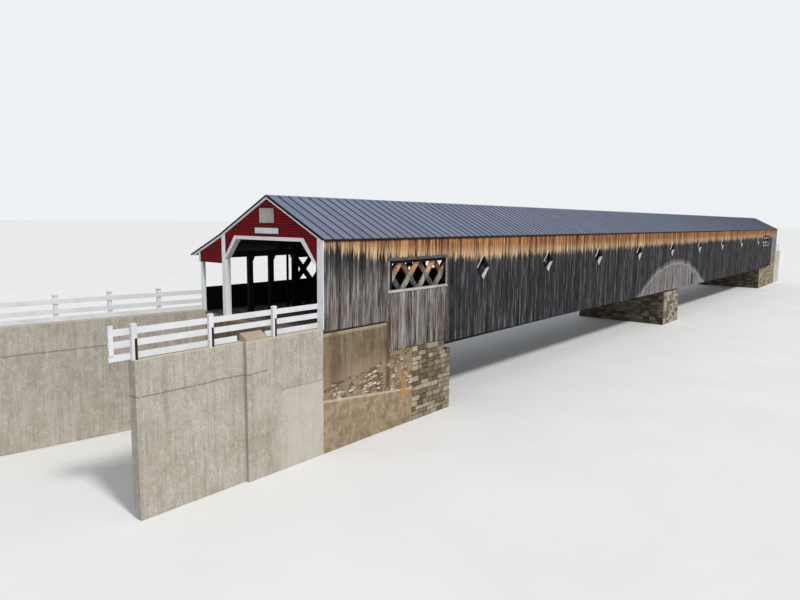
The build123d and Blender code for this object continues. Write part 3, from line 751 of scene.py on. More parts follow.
def abutment_concrete():
    finish = Concrete(
        "brown_abutment_concrete",
        pale=(0.272, 0.202, 0.128),
        dark=(0.168, 0.121, 0.072),
        stain=(0.052, 0.034, 0.018),
        streaking=0.80,
    )
    lower_half = finish.step(finish.z, ROAD - 0.13, ROAD - 0.23)
    finish.over(lower_half, (0.350, 0.267, 0.175), 0.45)
    dry_edge = finish.step(finish.z, ROAD - 0.032, ROAD - 0.018)
    finish.over(dry_edge, (0.42, 0.35, 0.25), 0.55)
    wet_run = finish.between(finish.x, 0.045, 0.095, 0.022)
    finish.over(wet_run, finish.stain, 0.45)
    # Painted shadow where the abutment's face steps back.
    step_shadow = finish.between(finish.x, 0.437, 0.470, 0.006)
    finish.over(step_shadow, finish.stain, 0.70)
    torn = finish.times_plus(finish.noise(22, detail=6), 0.07, finish.z)
    edge = finish.times_plus(finish.x, PLASTER_EDGE_SLOPE, PLASTER_EDGE)
    bare = finish.step(finish.minus(torn, edge), 0.006, -0.002)
    patchy = finish.step(finish.noise(17, detail=4, shift=(0.3, 0, 0.6)), 0.40, 0.50)
    finish.over(finish.times(bare, patchy), rubble_colour(finish), 0.9)
    uneven = finish.times_plus(finish.specks, 0.01, finish.z)
    above_ledge = finish.minus(uneven, finish.times_plus(finish.x, LEDGE_SLOPE, LEDGE))
    footing = finish.ramp(
        finish.noise(24, (1, 1, 0.8), detail=9, roughness=0.72),
        (0.34, (0.18, 0.130, 0.080)),
        (0.50, (0.285, 0.213, 0.138)),
        (0.66, (0.40, 0.315, 0.215)),
    )
    finish.over(finish.step(above_ledge, 0.004, -0.001), footing)
    finish.over(finish.between(above_ledge, -0.004, 0.008, 0.003), (0.54, 0.46, 0.34), 0.7)
    lichen = finish.step(finish.noise(13, detail=5, shift=(1.7, 0, 2.0)), 0.56, 0.66)
    beside_corner = finish.between(finish.x, 0.49, 1.20, 0.07)
    finish.over(finish.times(lichen, beside_corner), (0.42, 0.20, 0.04), 0.75)
    return finish.done()


ABUTMENT_CONCRETE = abutment_concrete()
print("finish:", ABUTMENT_CONCRETE.name)

# %% [markdown]
# ## Stone
# The stones differ from one to the next, so each stone carries a number of its own, as the
# boards do. Veins and specks are laid over that tone. The joints are the same stone, only
# much darker, because they lie in shadow.

# %% The finishes of the stones
def split_stone(name, light, mid, dark):
    finish = Finish(name, roughness=0.95, shine=0.2)
    veins = finish.noise(34, detail=8, roughness=0.7)
    specks = finish.noise(150, detail=4, roughness=0.7)
    value = finish.times_plus(finish.stored("stone_tone"), 0.5, finish.times(veins, 0.5))
    value = finish.swing(specks, 0.6, value)
    finish.colour(finish.ramp(value, (0.22, dark), (0.50, mid), (0.80, light)))
    finish.bump(finish.noise(70, detail=8, roughness=0.75), 0.004, 0.8)
    return finish.material


STONE = split_stone("split_stone", (0.46, 0.39, 0.29), (0.25, 0.20, 0.13), (0.08, 0.06, 0.04))
PIER_STONE = split_stone(
    "pier_stone", (0.42, 0.36, 0.28), (0.25, 0.21, 0.16), (0.07, 0.055, 0.04)
)
# Painted shade: a darker copy of the stone for the sides under the deck.
STONE_IN_SHADE = split_stone(
    "stone_in_painted_shade", (0.20, 0.165, 0.12), (0.10, 0.082, 0.058), (0.04, 0.03, 0.02)
)
# Painted shade: the joints between the stones are the same stone, nearly black.
JOINTS_IN_SHADE = split_stone(
    "stone_joints", (0.10, 0.085, 0.065), (0.06, 0.05, 0.04), (0.03, 0.025, 0.02)
)
print("finishes:", STONE.name, PIER_STONE.name, STONE_IN_SHADE.name, JOINTS_IN_SHADE.name)

# %% [markdown]
# ## Timber
# Inside, the timber is dark brown with the grain running along each plank. The truss behind
# the first window is tan where the eave keeps it dry and grey below, and behind the
# diamonds it lies in the dark.

# %% The finishes of the timber
def old_timber(name, light, dark):
    finish = Finish(name, roughness=0.85, shine=0.12)
    grain = finish.noise(60, (0.15, 1, 0.35), detail=6, roughness=0.6)
    knots = finish.noise(9, detail=3)
    value = finish.times_plus(grain, 0.7, finish.times(knots, 0.4))
    finish.colour(finish.ramp(value, (0.35, dark), (0.70, light)))
    finish.bump(grain, 0.0012, 0.6)
    return finish.material


def window_timber(name, sunlit):
    """Planks of the truss behind the boards. sunlit is 1 for the layer that the sun reaches."""
    finish = Finish(name, roughness=0.85, shine=0.12)
    grain = finish.noise(90, (0.5, 1, 0.2), detail=6, roughness=0.65)
    tan = finish.ramp(grain, (0.35, (0.20, 0.09, 0.04)), (0.60, (0.60, 0.35, 0.18)))
    grey = finish.ramp(grain, (0.35, (0.09, 0.078, 0.07)), (0.60, (0.36, 0.33, 0.30)))
    dark = finish.ramp(grain, (0.35, (0.010, 0.008, 0.007)), (0.60, (0.036, 0.030, 0.026)))
    level = finish.times_plus(finish.noise(18, detail=3), 0.030, finish.z)
    dry = finish.step(level, ROAD + 0.238, ROAD + 0.246)
    behind_window = finish.mix(1 - sunlit, finish.mix(dry, grey, tan), dark)
    finish.colour(finish.mix(finish.step(finish.x, 1.00, 1.02), behind_window, dark))
    finish.bump(grain, 0.0012, 0.6)
    return finish.material


OLD_TIMBER = old_timber("old_timber", (0.024, 0.018, 0.014), (0.007, 0.005, 0.004))
# Painted shade: the boards under the roof are nearly black.
ROOF_BOARDS_IN_SHADE = old_timber("roof_boards", (0.005, 0.004, 0.004), (0.002, 0.0015, 0.0015))
FRONT_PLANKS = window_timber("planks_behind_windows", 1.0)
BACK_PLANKS = window_timber("shaded_planks_behind_windows", 0.22)
FRAME_TIMBER = old_timber("grey_frame_timber", (0.34, 0.31, 0.29), (0.12, 0.10, 0.095))
HEAD_TIMBER = old_timber("dark_head_timber", (0.120, 0.125, 0.120), (0.022, 0.024, 0.024))
SILL_TIMBER = old_timber("bleached_sill_timber", (0.50, 0.48, 0.45), (0.27, 0.25, 0.24))
RUST = old_timber("rusty_steel", (0.060, 0.016, 0.012), (0.018, 0.007, 0.006))
print("finishes:", OLD_TIMBER.name, FRAME_TIMBER.name, SILL_TIMBER.name, RUST.name)

# %% [markdown]
# ## The deck
# The deck's planks lie across the bridge and are worn. Counting plank widths along it gives
# each plank a number, and from that number comes its tone. What is left of the count tells
# where the plank ends, and the bump sinks there.

# %% The finish of the deck
DECK_PLANK = 24 * MM


def deck_planks():
    finish = Finish("deck_planks", roughness=0.8)
    plank = finish.math("DIVIDE", finish.x, DECK_PLANK)
    tone = finish.chance(finish.math("FLOOR", plank))
    grain = finish.noise(50, (1, 0.08, 1), detail=6)
    value = finish.times_plus(grain, 0.6, finish.times(tone, 0.4))
    finish.colour(finish.ramp(value, (0.2, (0.06, 0.05, 0.04)), (0.8, (0.22, 0.19, 0.16))))
    along = finish.math("FRACT", plank)
    gap = finish.times(finish.step(along, 0.0, 0.05), finish.step(along, 1.0, 0.95))
    finish.bump(finish.times_plus(grain, 0.2, gap), 0.0015, 0.8)
    return finish.material


DECK_FINISH = deck_planks()
print("finish:", DECK_FINISH.name)

# %% [markdown]
# ## Sheet metal
# The roof is painted sheet metal, blue-grey and a little glossy, whose flat pans bulge
# slightly, so that their shine is never quite even. Dirt and a painted shadow lie beside
# each seam, so the seams' pitch and width are needed here already.

# %% The finishes of the roof
SEAM_PITCH = 65 * MM
SEAM_WIDTH = 5.5 * MM
FIRST_SEAM = ROOF_END_NEAR + 2 * MM


def sheet_metal(name, colour, worn, roughness=0.42, gloss=0.5):
    """Painted sheet metal. Each sheet has its own tone, and dirt and a painted shadow lie along
    each seam.
    """
    finish = Finish(name, roughness, shine=gloss, metallic=gloss / 2)
    tone = finish.chance(finish.math("FLOOR", finish.math("DIVIDE", finish.x, SEAM_PITCH)))
    dust = finish.noise(5, (1, 0.4, 1), detail=5)
    share = finish.times_plus(tone, 0.35, finish.times(dust, 0.55))
    sheet = finish.mix(share, colour, worn)
    pans = finish.math("DIVIDE", finish.minus(finish.x, FIRST_SEAM), SEAM_PITCH)
    past_seam = finish.times(finish.math("FRACT", pans), SEAM_PITCH)
    # Dirt and a painted shadow: a dark strip under and just past each seam.
    dirt_and_seam_shadow = finish.step(past_seam, SEAM_WIDTH + 6 * MM, SEAM_WIDTH + 3 * MM)
    sheet = finish.mix(finish.times(dirt_and_seam_shadow, 0.95), sheet, (0.012, 0.014, 0.020))
    cut_edge = finish.step(finish.y, NEAR_EAVE + 0.6 * MM, NEAR_EAVE + 0.2 * MM)
    finish.colour(finish.mix(cut_edge, sheet, (0.010, 0.010, 0.012)))
    finish.bump(finish.noise(7, (1.0, 0.35, 1), detail=2), 0.002, 0.25)
    return finish.material


ROOF_METAL = sheet_metal("roof_metal", (0.124, 0.150, 0.232), (0.212, 0.244, 0.348))
# Painted shade: the seams are nearly black, for the shaded sides of the ribs.
SEAM_METAL_IN_SHADE = sheet_metal("seam_metal_painted_shade", (0.010, 0.012, 0.019), (0.028, 0.033, 0.048), 0.6, 0.2)
DARK_METAL = sheet_metal(
    "dark_edge_metal", (0.004, 0.004, 0.005), (0.012, 0.012, 0.014), 0.9, 0.05
)
print("finishes:", ROOF_METAL.name, SEAM_METAL_IN_SHADE.name, DARK_METAL.name)

# %% [markdown]
# ## Give the solid parts their finishes
# The record already sorts every solid part into a slot, so most parts get the finish of
# their slot. A few differ: the abutment's browner concrete, the window frames, the planks
# that the weather reaches through the windows, and the parapet, whose inner side is dark.
# The stone bodies only show as joints behind the stones that are laid on them later, and their
# finish is painted shade.

# %% Finish the solid parts
SLOT_FINISH = {
    "concrete": WALL_CONCRETE,
    "stonework": JOINTS_IN_SHADE,
    "old_timber": OLD_TIMBER,
    "deck_planks": DECK_FINISH,
    "weathered_boards": BOARD_FINISH,
    "red_boards": RED_PAINT,
    "rusty_steel": RUST,
    "white_paint": WHITE_PAINT,
    "roof_metal": ROOF_METAL,
}
OTHER_FINISH = {
    "near_abutment": ABUTMENT_CONCRETE,
    "far_seat_wall": ABUTMENT_CONCRETE,
    "window_frames": FRAME_TIMBER,
    "near_truss_rising_planks": FRONT_PLANKS,
    "near_truss_falling_planks": BACK_PLANKS,
    "sidewalk_parapet": OLD_TIMBER,
    "near_portal_trim": TRIM_PAINT,
    "far_portal_trim": TRIM_PAINT,
    "near_portal_posts": POST_PAINT,
    "far_portal_posts": POST_PAINT,
    "wall_panels": SHADE_BETWEEN_BOARDS,
    "walls_under_openings": SHADE_BETWEEN_BOARDS,
    "walls_over_openings": SHADE_BETWEEN_BOARDS,
    "near_vestibule_wall": SHADE_BETWEEN_BOARDS,
    "far_vestibule_wall": SHADE_BETWEEN_BOARDS,
}
slot_of = {part["node"]: part["material_slot"] for part in frame["record"]["subparts"]}
for name, solid in frame["nodes"].items():
    finish = OTHER_FINISH.get(name, SLOT_FINISH[slot_of[name]])
    solid.data.materials.clear()
    solid.data.materials.append(finish)
print("finished", len(slot_of), "solid parts")

# %% [markdown]
# ## Standing seams
# Each metal sheet runs from the ridge to the eave, and its edges are folded up together
# into a rib. In the model a rib is a thin box, sheared to the slope of the roof: only its
# ridge end is lifted. Its two upper edges are then bevelled, and an array repeats it
# along the bridge.

# %% Seams on the three slopes
SEAM_HEIGHT = 2.8 * MM
SINK = 1 * MM


def seams(name, y_low, y_high):
    """One slope's seams, between two places across the bridge."""
    low_end, high_end = roof_top(y_low), roof_top(y_high)
    rib = start_box(
        name,
        (FIRST_SEAM, y_low, low_end - SINK),
        (FIRST_SEAM + SEAM_WIDTH, y_high, low_end + SEAM_HEIGHT),
    )
    select_faces(rib, lambda middle: abs(middle.y - y_high) < 1e-5)
    move_selected(z=high_end - low_end)
    crown = SEAM_HEIGHT * 0.6
    select_edges(rib, lambda corner: corner.z > roof_top(corner.y) + crown)
    bevel_selected(0.8 * MM)
    count = int((ROOF_END_FAR - FIRST_SEAM - SEAM_WIDTH) / SEAM_PITCH) + 1
    repeat_along(rib, count, (SEAM_PITCH, 0, 0))
    return carry(rib, SEAM_METAL_IN_SHADE)


cap_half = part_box("ridge_cap")[1].y
river_seams = seams("river_side_seams", NEAR_EAVE, -cap_half)
road_seams = seams("sidewalk_side_seams", cap_half, KNEE - 1 * MM)
walk_seams = seams("sidewalk_seams", KNEE + 1 * MM, WALK_EAVE)
print("seam faces:", faces_of(river_seams), faces_of(road_seams), faces_of(walk_seams))

# %% [markdown]
# ## The dark edge of the roof
# Along each gable the sheets end in a thin dark fold. It follows the roof in three runs.
# The strip starts as a short box at one eave, and its end face is extruded from bend to
# bend.

# %% Edge strips at both ends
def edge_strip(name, x_low, x_high):
    """A strip over one end of the roof, from eave to eave."""
    depth = SHEET + 0.6 * MM
    rise = 1.2 * MM
    start = roof_top(NEAR_EAVE)
    strip = start_box(
        name,
        (x_low, NEAR_EAVE, start - depth),
        (x_high, NEAR_EAVE + 1 * MM, start + rise),
    )
    select_faces(strip, lambda middle: abs(middle.y - NEAR_EAVE - 1 * MM) < 1e-5)
    here = (NEAR_EAVE + 1 * MM, start)
    for y in (0.0, KNEE, WALK_EAVE):
        there = (y, roof_top(y))
        bpy.ops.mesh.extrude_region_move(
            TRANSFORM_OT_translate={"value": (0, there[0] - here[0], there[1] - here[1])}
        )
        here = there
    bpy.ops.object.mode_set(mode="OBJECT")
    return carry(strip, DARK_METAL)


near_strip = edge_strip("near_roof_edge", ROOF_END_NEAR - 1.5 * MM, ROOF_END_NEAR + 1 * MM)
far_strip = edge_strip("far_roof_edge", ROOF_END_FAR - 1 * MM, ROOF_END_FAR + 1.5 * MM)
print("edge strip faces:", faces_of(near_strip), faces_of(far_strip))

# %% [markdown]
# ## The drip board under the eave
# A narrow dark board runs under the edge of the sheets on the river side, from gable to
# gable. Rain drips off it and not down the wall. It is one long box. Its upper front edge is
# lowered to the slope of the sheets, and its lower front edge is bevelled.

# %% The drip board
def drip_board(name, depth, thickness):
    """One long board, whose top fits under the sloping sheets."""
    under_sheet = roof_top(NEAR_EAVE) - SHEET
    rise = thickness * MAIN_SLOPE
    board = start_box(
        name,
        (ROOF_END_NEAR + 6 * MM, NEAR_EAVE, under_sheet - depth),
        (ROOF_END_FAR - 6 * MM, NEAR_EAVE + thickness, under_sheet + rise),
    )
    select_edges(board, lambda co: co.z > under_sheet and co.y < NEAR_EAVE + 1e-6)
    move_selected(z=-rise)
    select_edges(board, lambda co: co.z < under_sheet - depth / 2 and co.y < NEAR_EAVE + 1e-6)
    bevel_selected(1 * MM)
    return carry(board, DARK_METAL)


eave_drip = drip_board("eave_drip_board", 5 * MM, 4 * MM)
print("drip board faces:", faces_of(eave_drip))

# %% [markdown]
# ## Boards under the sheets
# From inside, a metal roof isn't seen: the sheets are nailed to rough boards that run from
# rafter to rafter. They are old, and their finish is nearly black as painted shade, which
# keeps the inside of the bridge dark.
# One board is modelled for each slope, tilted like its roof, and an array steps it down the
# slope with a narrow gap.

# %% Roof boards on the three slopes
ROOF_BOARD = 21 * MM
ROOF_BOARD_GAP = 0.6 * MM
ROOF_BOARD_THICKNESS = 1.6 * MM


def roof_boards(name, y_high, y_low):
    """Boards under one slope, from its upper edge to its lower one."""
    side = 1 if y_low > y_high else -1
    high_end = roof_top(y_high) - SHEET
    count = int(abs(y_low - y_high) / (ROOF_BOARD + ROOF_BOARD_GAP))
    step = (y_low - y_high) / count
    fall = (roof_top(y_low) - roof_top(y_high)) / count
    width = step - side * ROOF_BOARD_GAP
    board = start_box(
        name,
        (2 * MM, min(y_high, y_high + width), high_end - ROOF_BOARD_THICKNESS),
        (LENGTH - 2 * MM, max(y_high, y_high + width), high_end),
    )
    outer = y_high + width
    select_faces(board, lambda middle: abs(middle.y - outer) < 1e-5)
    move_selected(z=fall * width / step)
    repeat_along(board, count, (0, step, fall))
    return carry(board, ROOF_BOARDS_IN_SHADE)


under_river_side = roof_boards("boards_under_river_side", -4 * MM, NEAR_FACE + 4 * MM)
under_sidewalk_side = roof_boards("boards_under_sidewalk_side", 4 * MM, KNEE - 1 * MM)
under_sidewalk = roof_boards("boards_under_sidewalk", KNEE + 1 * MM, WALK_EAVE - 2 * MM)
for boards in (under_river_side, under_sidewalk_side, under_sidewalk):
    print(boards.name, "faces:", faces_of(boards))

# %% [markdown]
# ## The upright boards of the river side
# The river side is closed by several hundred upright boards, no two quite as wide, as
# thick or as long. One board is modelled with soft front edges. Each copy of it gets its
# own width, thickness, gap and lower end by chance, and a tone for the finish to read. The
# copies are then joined. Names that end in MM hold ranges or choices in millimetres.

# %% One board, and a row of its copies
NARROWEST_BOARD = 8 * MM
SUNK_IN_WALL = 0.6 * MM
WIDTHS_MM = (17, 27)
THICKNESSES_MM = (1.4, 2.4)
GAPS_MM = (0.7, 1.0, 1.4, 2.4)
UNEVEN_FEET_MM = (0, 5)


def board_row(name, x_low, x_high, y_face, outwards, bottom_at, top, seed):
    """Upright boards on a wall. outwards is -1 on the river side and 1 on the other."""
    chance = random.Random(seed)
    model = start_box("one_board", (0, -0.5, 0), (1, 0.5, 1))
    select_edges(model, lambda corner: abs(corner.y - 0.5 * outwards) < 1e-5)
    bevel_selected(0.05)
    boards = []
    x = x_low
    while x < x_high - 1e-6:
        width = min(chance.uniform(*WIDTHS_MM) * MM, x_high - x)
        if x_high - x - width < NARROWEST_BOARD:
            width = x_high - x
        thickness = chance.uniform(*THICKNESSES_MM) * MM
        gap = chance.choice(GAPS_MM) * MM
        bottom = bottom_at(x + width / 2) - chance.uniform(*UNEVEN_FEET_MM) * MM
        place = (x + gap / 2, y_face + outwards * (thickness / 2 - SUNK_IN_WALL), bottom)
        board = copy_piece(model, place, (width - gap, thickness, top - bottom))
        store_on_faces(board.data, "board_tone", chance.random())
        boards.append(board)
        x += width
    bpy.data.objects.remove(model)
    return join(name, boards), len(boards)


print("boards from", WIDTHS_MM[0], "to", WIDTHS_MM[1], "mm wide")

# %% [markdown]
# ## The wall's lower edge
# The boards of the river side end where the solid wall behind them ends. The first and the
# last ones stop just below the road. Under the first window they reach down to the top of
# the old abutment. From there to the last window their lower edge falls gently, under the
# last window it rises again, and then it stays level up to the last boards.

# %% Boards along the whole river side
DROP_UNDER_FIRST_WINDOW = 160 * MM
DROP_AFTER_FIRST_WINDOW = 178 * MM
DROP_BEFORE_LAST_WINDOW = 245 * MM
DROP_AFTER_LAST_WINDOW = 188 * MM
WINDOW_LENGTH = 485 * MM
LAST_BOARDS = 426 * MM


def slide(first, last, share):
    """A number on the way from the first to the last."""
    return first + (last - first) * share


def river_side_bottom(x):
    """The lower end of the boards, which follows the solid wall behind them."""
    near_window_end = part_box("wall_panels")[0].x
    far_window_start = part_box("wall_panels")[1].x
    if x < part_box("near_vestibule_wall")[1].x:
        return BOARDS_FOOT + 5 * MM
    if x < near_window_end:
        return ROAD - DROP_UNDER_FIRST_WINDOW
    if x < far_window_start:
        share = (x - near_window_end) / (far_window_start - near_window_end)
        return ROAD - slide(DROP_AFTER_FIRST_WINDOW, DROP_BEFORE_LAST_WINDOW, share)
    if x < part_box("far_vestibule_wall")[1].x - LAST_BOARDS:
        share = min(1, (x - far_window_start) / WINDOW_LENGTH)
        return ROAD - slide(DROP_BEFORE_LAST_WINDOW, DROP_AFTER_LAST_WINDOW, share)
    return ROAD - 5 * MM


boards_top = WALL_TOP - 0.5 * MM
river_boards, count = board_row(
    "river_side_boards", 0.0, LENGTH, NEAR_FACE, -1, river_side_bottom, boards_top, 11
)
print("boards on the river side:", count, "faces:", faces_of(river_boards))

# %% [markdown]
# ## Windows and diamonds through the boards
# The solid wall already has its openings, so their places are found from the solids: the
# windows from their frames, and each diamond from the notch in the wall piece below it,
# whose two upper corners give its middle and its width. A boolean then cuts the openings
# through all the boards at once, as a saw does once the boards are up.

# %% Cut the openings
DIAMOND_LEVEL = ROAD + 222.5 * MM
DIAMOND_HALF_HEIGHT = 74.5 * MM
WINDOW_FRAME = 12 * MM


def notch_middles():
    """Middle and half width of each diamond, from the wall pieces under them."""
    corners = [corner.co for corner in frame["nodes"]["walls_under_openings"].data.vertices]
    edges = sorted({round(co.x, 4) for co in corners if abs(co.z - DIAMOND_LEVEL) < 1e-4})
    return [((a + b) / 2, (b - a) / 2) for a, b in zip(edges[::2], edges[1::2])]


def diamond_cutter(middle, half):
    """A four-sided prism through the wall, made from a box that is turned on its edge."""
    cutter = start_box("diamond_cutter", (-0.5, -0.5, -0.5), (0.5, 0.5, 0.5))
    cutter.data.transform(Matrix.Rotation(radians(45), 4, "Y"))
    diagonal = 2**0.5
    size = (half * diagonal, 30 * MM, DIAMOND_HALF_HEIGHT * diagonal)
    place = (middle, NEAR_FACE, DIAMOND_LEVEL)
    cutter.data.transform(Matrix.Translation(place) @ Matrix.Diagonal((*size, 1)))
    return cutter


def window_boxes():
    """The clear opening of each window, as lowest and highest corner."""
    low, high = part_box("window_frames")
    for start in (low.x + WINDOW_FRAME, high.x - WINDOW_FRAME - WINDOW_LENGTH):
        yield (
            (start, NEAR_FACE - 15 * MM, low.z + WINDOW_FRAME),
            (start + WINDOW_LENGTH, NEAR_FACE + 15 * MM, high.z - WINDOW_FRAME),
        )


diamonds = notch_middles()
cutters = [diamond_cutter(middle, half) for middle, half in diamonds]
cutters += [start_box("window_cutter", low, high) for low, high in window_boxes()]
cutter = join("cutters", cutters)
apply_modifier(river_boards, "BOOLEAN", operation="DIFFERENCE", object=cutter, solver="EXACT")
bpy.data.objects.remove(cutter)
carry(river_boards, BOARD_FINISH)
print("diamonds:", len(diamonds), "faces after the cuts:", faces_of(river_boards))

# %% [markdown]
# ## Casings of the diamonds
# Four thin boards line each diamond and stand out a little, as the casing of a window
# does. They keep rain off the cut ends of the wall's boards. From the left one sees their
# upper outer face and their lower inner face. The faces that look up are painted pale as
# sunlit, and the others nearly black as shade. A casing starts as the same prism that cut
# the opening. The back of each board is drawn in until it stops short of the truss, the
# prism's two ends are deleted, and a solidify modifier gives the boards their thickness,
# towards the inside.

# %% Diamond casings
CASING_THICKNESS = 1.8 * MM
CASING_CLEARANCE = 0.1 * MM
CASING_BACK = 13.5 * MM
CASING_BACK_LEAN = 5.5 * MM


def diamond_casing(middle, half):
    """The prism of one opening, hollow and open at both ends."""
    casing = diamond_cutter(middle, half - CASING_CLEARANCE)
    for corner in casing.data.vertices:
        rise = (corner.co.z - DIAMOND_LEVEL) / DIAMOND_HALF_HEIGHT
        corner.co.z = DIAMOND_LEVEL + rise * (DIAMOND_HALF_HEIGHT - CASING_CLEARANCE)
        if corner.co.y > NEAR_FACE:
            corner.co.y = NEAR_FACE + CASING_BACK - rise * CASING_BACK_LEAN
        else:
            corner.co.y = NEAR_EAVE + 0.2 * MM
    select_faces(casing, lambda centre: abs(centre.y - NEAR_FACE) > 6 * MM)
    bpy.ops.mesh.delete(type="ONLY_FACE")
    bpy.ops.object.mode_set(mode="OBJECT")
    apply_modifier(casing, "SOLIDIFY", thickness=CASING_THICKNESS, offset=-1, use_even_offset=True)
    return casing


def store_upward_faces(piece):
    """Mark the faces that look up, which are the ones painted as sunlit."""
    mark = piece.data.attributes.new("looks_up", "FLOAT", "FACE")
    for item, face in zip(mark.data, piece.data.polygons):
        item.value = 1.0 if face.normal.z > 0.2 else 0.0


def casing_painted_sun_and_shade():
    """Painted sunlight on the faces that look up, and painted shade on the others."""
    finish = Finish("casing_painted_sun_and_shade", roughness=0.9, shine=0.1)
    grain = finish.noise(120, (0.3, 1, 0.3), detail=4)
    pale = finish.ramp(grain, (0.35, (0.62, 0.60, 0.58)), (0.60, (0.86, 0.85, 0.83)))
    dark = finish.ramp(grain, (0.35, (0.010, 0.009, 0.009)), (0.60, (0.040, 0.036, 0.036)))
    finish.colour(finish.mix(finish.stored("looks_up"), dark, pale))
    return finish.material


casings = join("diamond_casings", [diamond_casing(middle, half) for middle, half in diamonds])
store_upward_faces(casings)
carry(casings, casing_painted_sun_and_shade())
print("casing faces:", faces_of(casings))

# %% [markdown]
# ## The sidewalk's outer boards
# The parapet beside the sidewalk is boarded in the same way, up to hand height. The same
# function lays those boards on the other side of the bridge.

# %% Boards on the parapet
parapet_low, parapet_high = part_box("sidewalk_parapet")
parapet_boards, count = board_row(
    "parapet_boards",
    parapet_low.x,
    parapet_high.x,
    parapet_high.y,
    1,
    lambda x: parapet_low.z + 2 * MM,
    parapet_high.z - 1 * MM,
    23,
)
carry(parapet_boards, BOARD_FINISH)
print("boards on the parapet:", count)

# %% [markdown]
# ## Clapboards on the gables
# The gables are clad with level boards, each lapping over the one below. One board is a
# thin wedge, thicker at its lower edge. An array stacks it with a hair's gap, because a
# boolean can't cut boards that share a face. The boolean then keeps only what lies over
# the gable: its outline is the solid gable itself, moved forward.

# %% Clapboards at both ends
LAP_GAP = 0.15 * MM
CLAPBOARD_FRONT = 3.2 * MM
CLAPBOARD_BACK = 0.4 * MM
CLAPBOARD_TAPER = 2.6 * MM
GABLE_FORWARD = 5 * MM


def gable_outline(gable_node, forward):
    """A copy of the solid gable with its edges closed up, moved in front of the gable."""
    outline = frame["nodes"][gable_node].copy()
    outline.data = outline.data.copy()
    bpy.context.scene.collection.objects.link(outline)
    outline.parent = None
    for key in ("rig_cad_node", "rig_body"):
        if key in outline:
            del outline[key]
    open_mesh(outline, action="SELECT")
    bpy.ops.mesh.remove_doubles(threshold=1e-6)
    bpy.ops.object.mode_set(mode="OBJECT")
    outline.data.transform(Matrix.Translation((forward * GABLE_FORWARD, 0, 0)))
    return outline


def clapboards(name, gable_node, forward):
    """Lapped boards over one gable. forward is -1 at the near end and 1 at the far end."""
    low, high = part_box(gable_node)
    beyond = 5 * MM
    board = start_box(
        name,
        (-CLAPBOARD_FRONT, low.y - beyond, low.z - LAP + LAP_GAP),
        (CLAPBOARD_BACK, high.y + beyond, low.z),
    )
    select_edges(board, lambda corner: corner.x < 0 and corner.z > low.z - LAP / 2)
    move_selected(x=CLAPBOARD_TAPER)
    repeat_along(board, int((high.z - low.z) / LAP) + 2, (0, 0, LAP))
    if forward > 0:
        board.data.transform(Matrix.Diagonal((-1, 1, 1, 1)))
        board.data.flip_normals()
    board.data.transform(Matrix.Translation((low.x if forward < 0 else high.x, 0, 0)))
    outline = gable_outline(gable_node, forward)
    apply_modifier(board, "BOOLEAN", operation="INTERSECT", object=outline, solver="EXACT")
    bpy.data.objects.remove(outline)
    return carry(board, RED_PAINT)


near_clapboards = clapboards("near_clapboards", "near_gable", -1)
far_clapboards = clapboards("far_clapboards", "far_gable", 1)
print("clapboard faces:", faces_of(near_clapboards), faces_of(far_clapboards))

# %% [markdown]
# ## Casings of the tall posts
# The tall post between road and sidewalk runs up through the gable. A white board covers
# its front, so that the clapboards end against the board's edges and don't stand proud of
# the post. It is a thin box, whose top is sloped to fit under the white board along the
# roof's edge. The edges of its front are bevelled.

# %% Casings of the tall posts
RAKE_DEPTH = 12 * MM
POST_NEAR_SIDE, POST_FAR_SIDE = 336 * MM, 366 * MM
POST_CASING_FRONT = 3.8 * MM
POST_CASING_BACK = 0.05 * MM


def post_casing(name, x_low, x_high, front):
    """A casing in front of one tall post. front is the x of its face."""
    casing = start_box(name, (x_low, POST_NEAR_SIDE, ROAD), (x_high, POST_FAR_SIDE, ROAD + 0.3))
    for corner in casing.data.vertices:
        if corner.co.z > ROAD + 0.1:
            corner.co.z = roof_top(corner.co.y) - SHEET - RAKE_DEPTH - 0.2 * MM
    select_edges(casing, lambda corner: abs(corner.x - front) < 1e-6)
    bevel_selected(0.6 * MM)
    return carry(casing, POST_PAINT)


near_front = -POST_CASING_FRONT
far_front = LENGTH + POST_CASING_FRONT
near_casing = post_casing("near_post_casing", near_front, -POST_CASING_BACK, near_front)
far_casing = post_casing("far_post_casing", LENGTH + POST_CASING_BACK, far_front, far_front)
print("post casing faces:", faces_of(near_casing), faces_of(far_casing))

# %% [markdown]
# ## Linings of the two portals
# Behind the white trim a board lines the opening's head and its two haunches, so that one
# doesn't look into the gable's hollow. From the near bank its sidewalk side shows, in
# shadow. It starts as a box as deep as the lining. Its top is drawn in to the width of the
# level head, its front, back and foot are deleted, and a solidify modifier turns what is
# left into boards.

# %% Portal linings
HAUNCH_LEVEL = ROAD + 300 * MM
HEAD_LEVEL = ROAD + 399 * MM
HAUNCH_HALF = 328 * MM
HEAD_HALF = 240 * MM
LINING_DEPTH = 26 * MM
LINING_THICKNESS = 2.4 * MM


def portal_lining(name, x_low, x_high):
    """The lining of one portal, between two places along the bridge."""
    outside = 3 * MM
    lining = start_box(
        name,
        (x_low, -HAUNCH_HALF - outside, HAUNCH_LEVEL),
        (x_high, HAUNCH_HALF + outside, HEAD_LEVEL + outside),
    )
    for corner in lining.data.vertices:
        if corner.co.z > HEAD_LEVEL:
            corner.co.y *= (HEAD_HALF + outside) / (HAUNCH_HALF + outside)
    select_faces(
        lining,
        lambda middle: abs(middle.x - x_low) < 1e-5
        or abs(middle.x - x_high) < 1e-5
        or middle.z < HAUNCH_LEVEL + 1e-5,
    )
    bpy.ops.mesh.delete(type="ONLY_FACE")
    bpy.ops.object.mode_set(mode="OBJECT")
    apply_modifier(
        lining, "SOLIDIFY", thickness=LINING_THICKNESS, offset=-1, use_even_offset=True
    )
    return carry(lining, TRIM_PAINT)


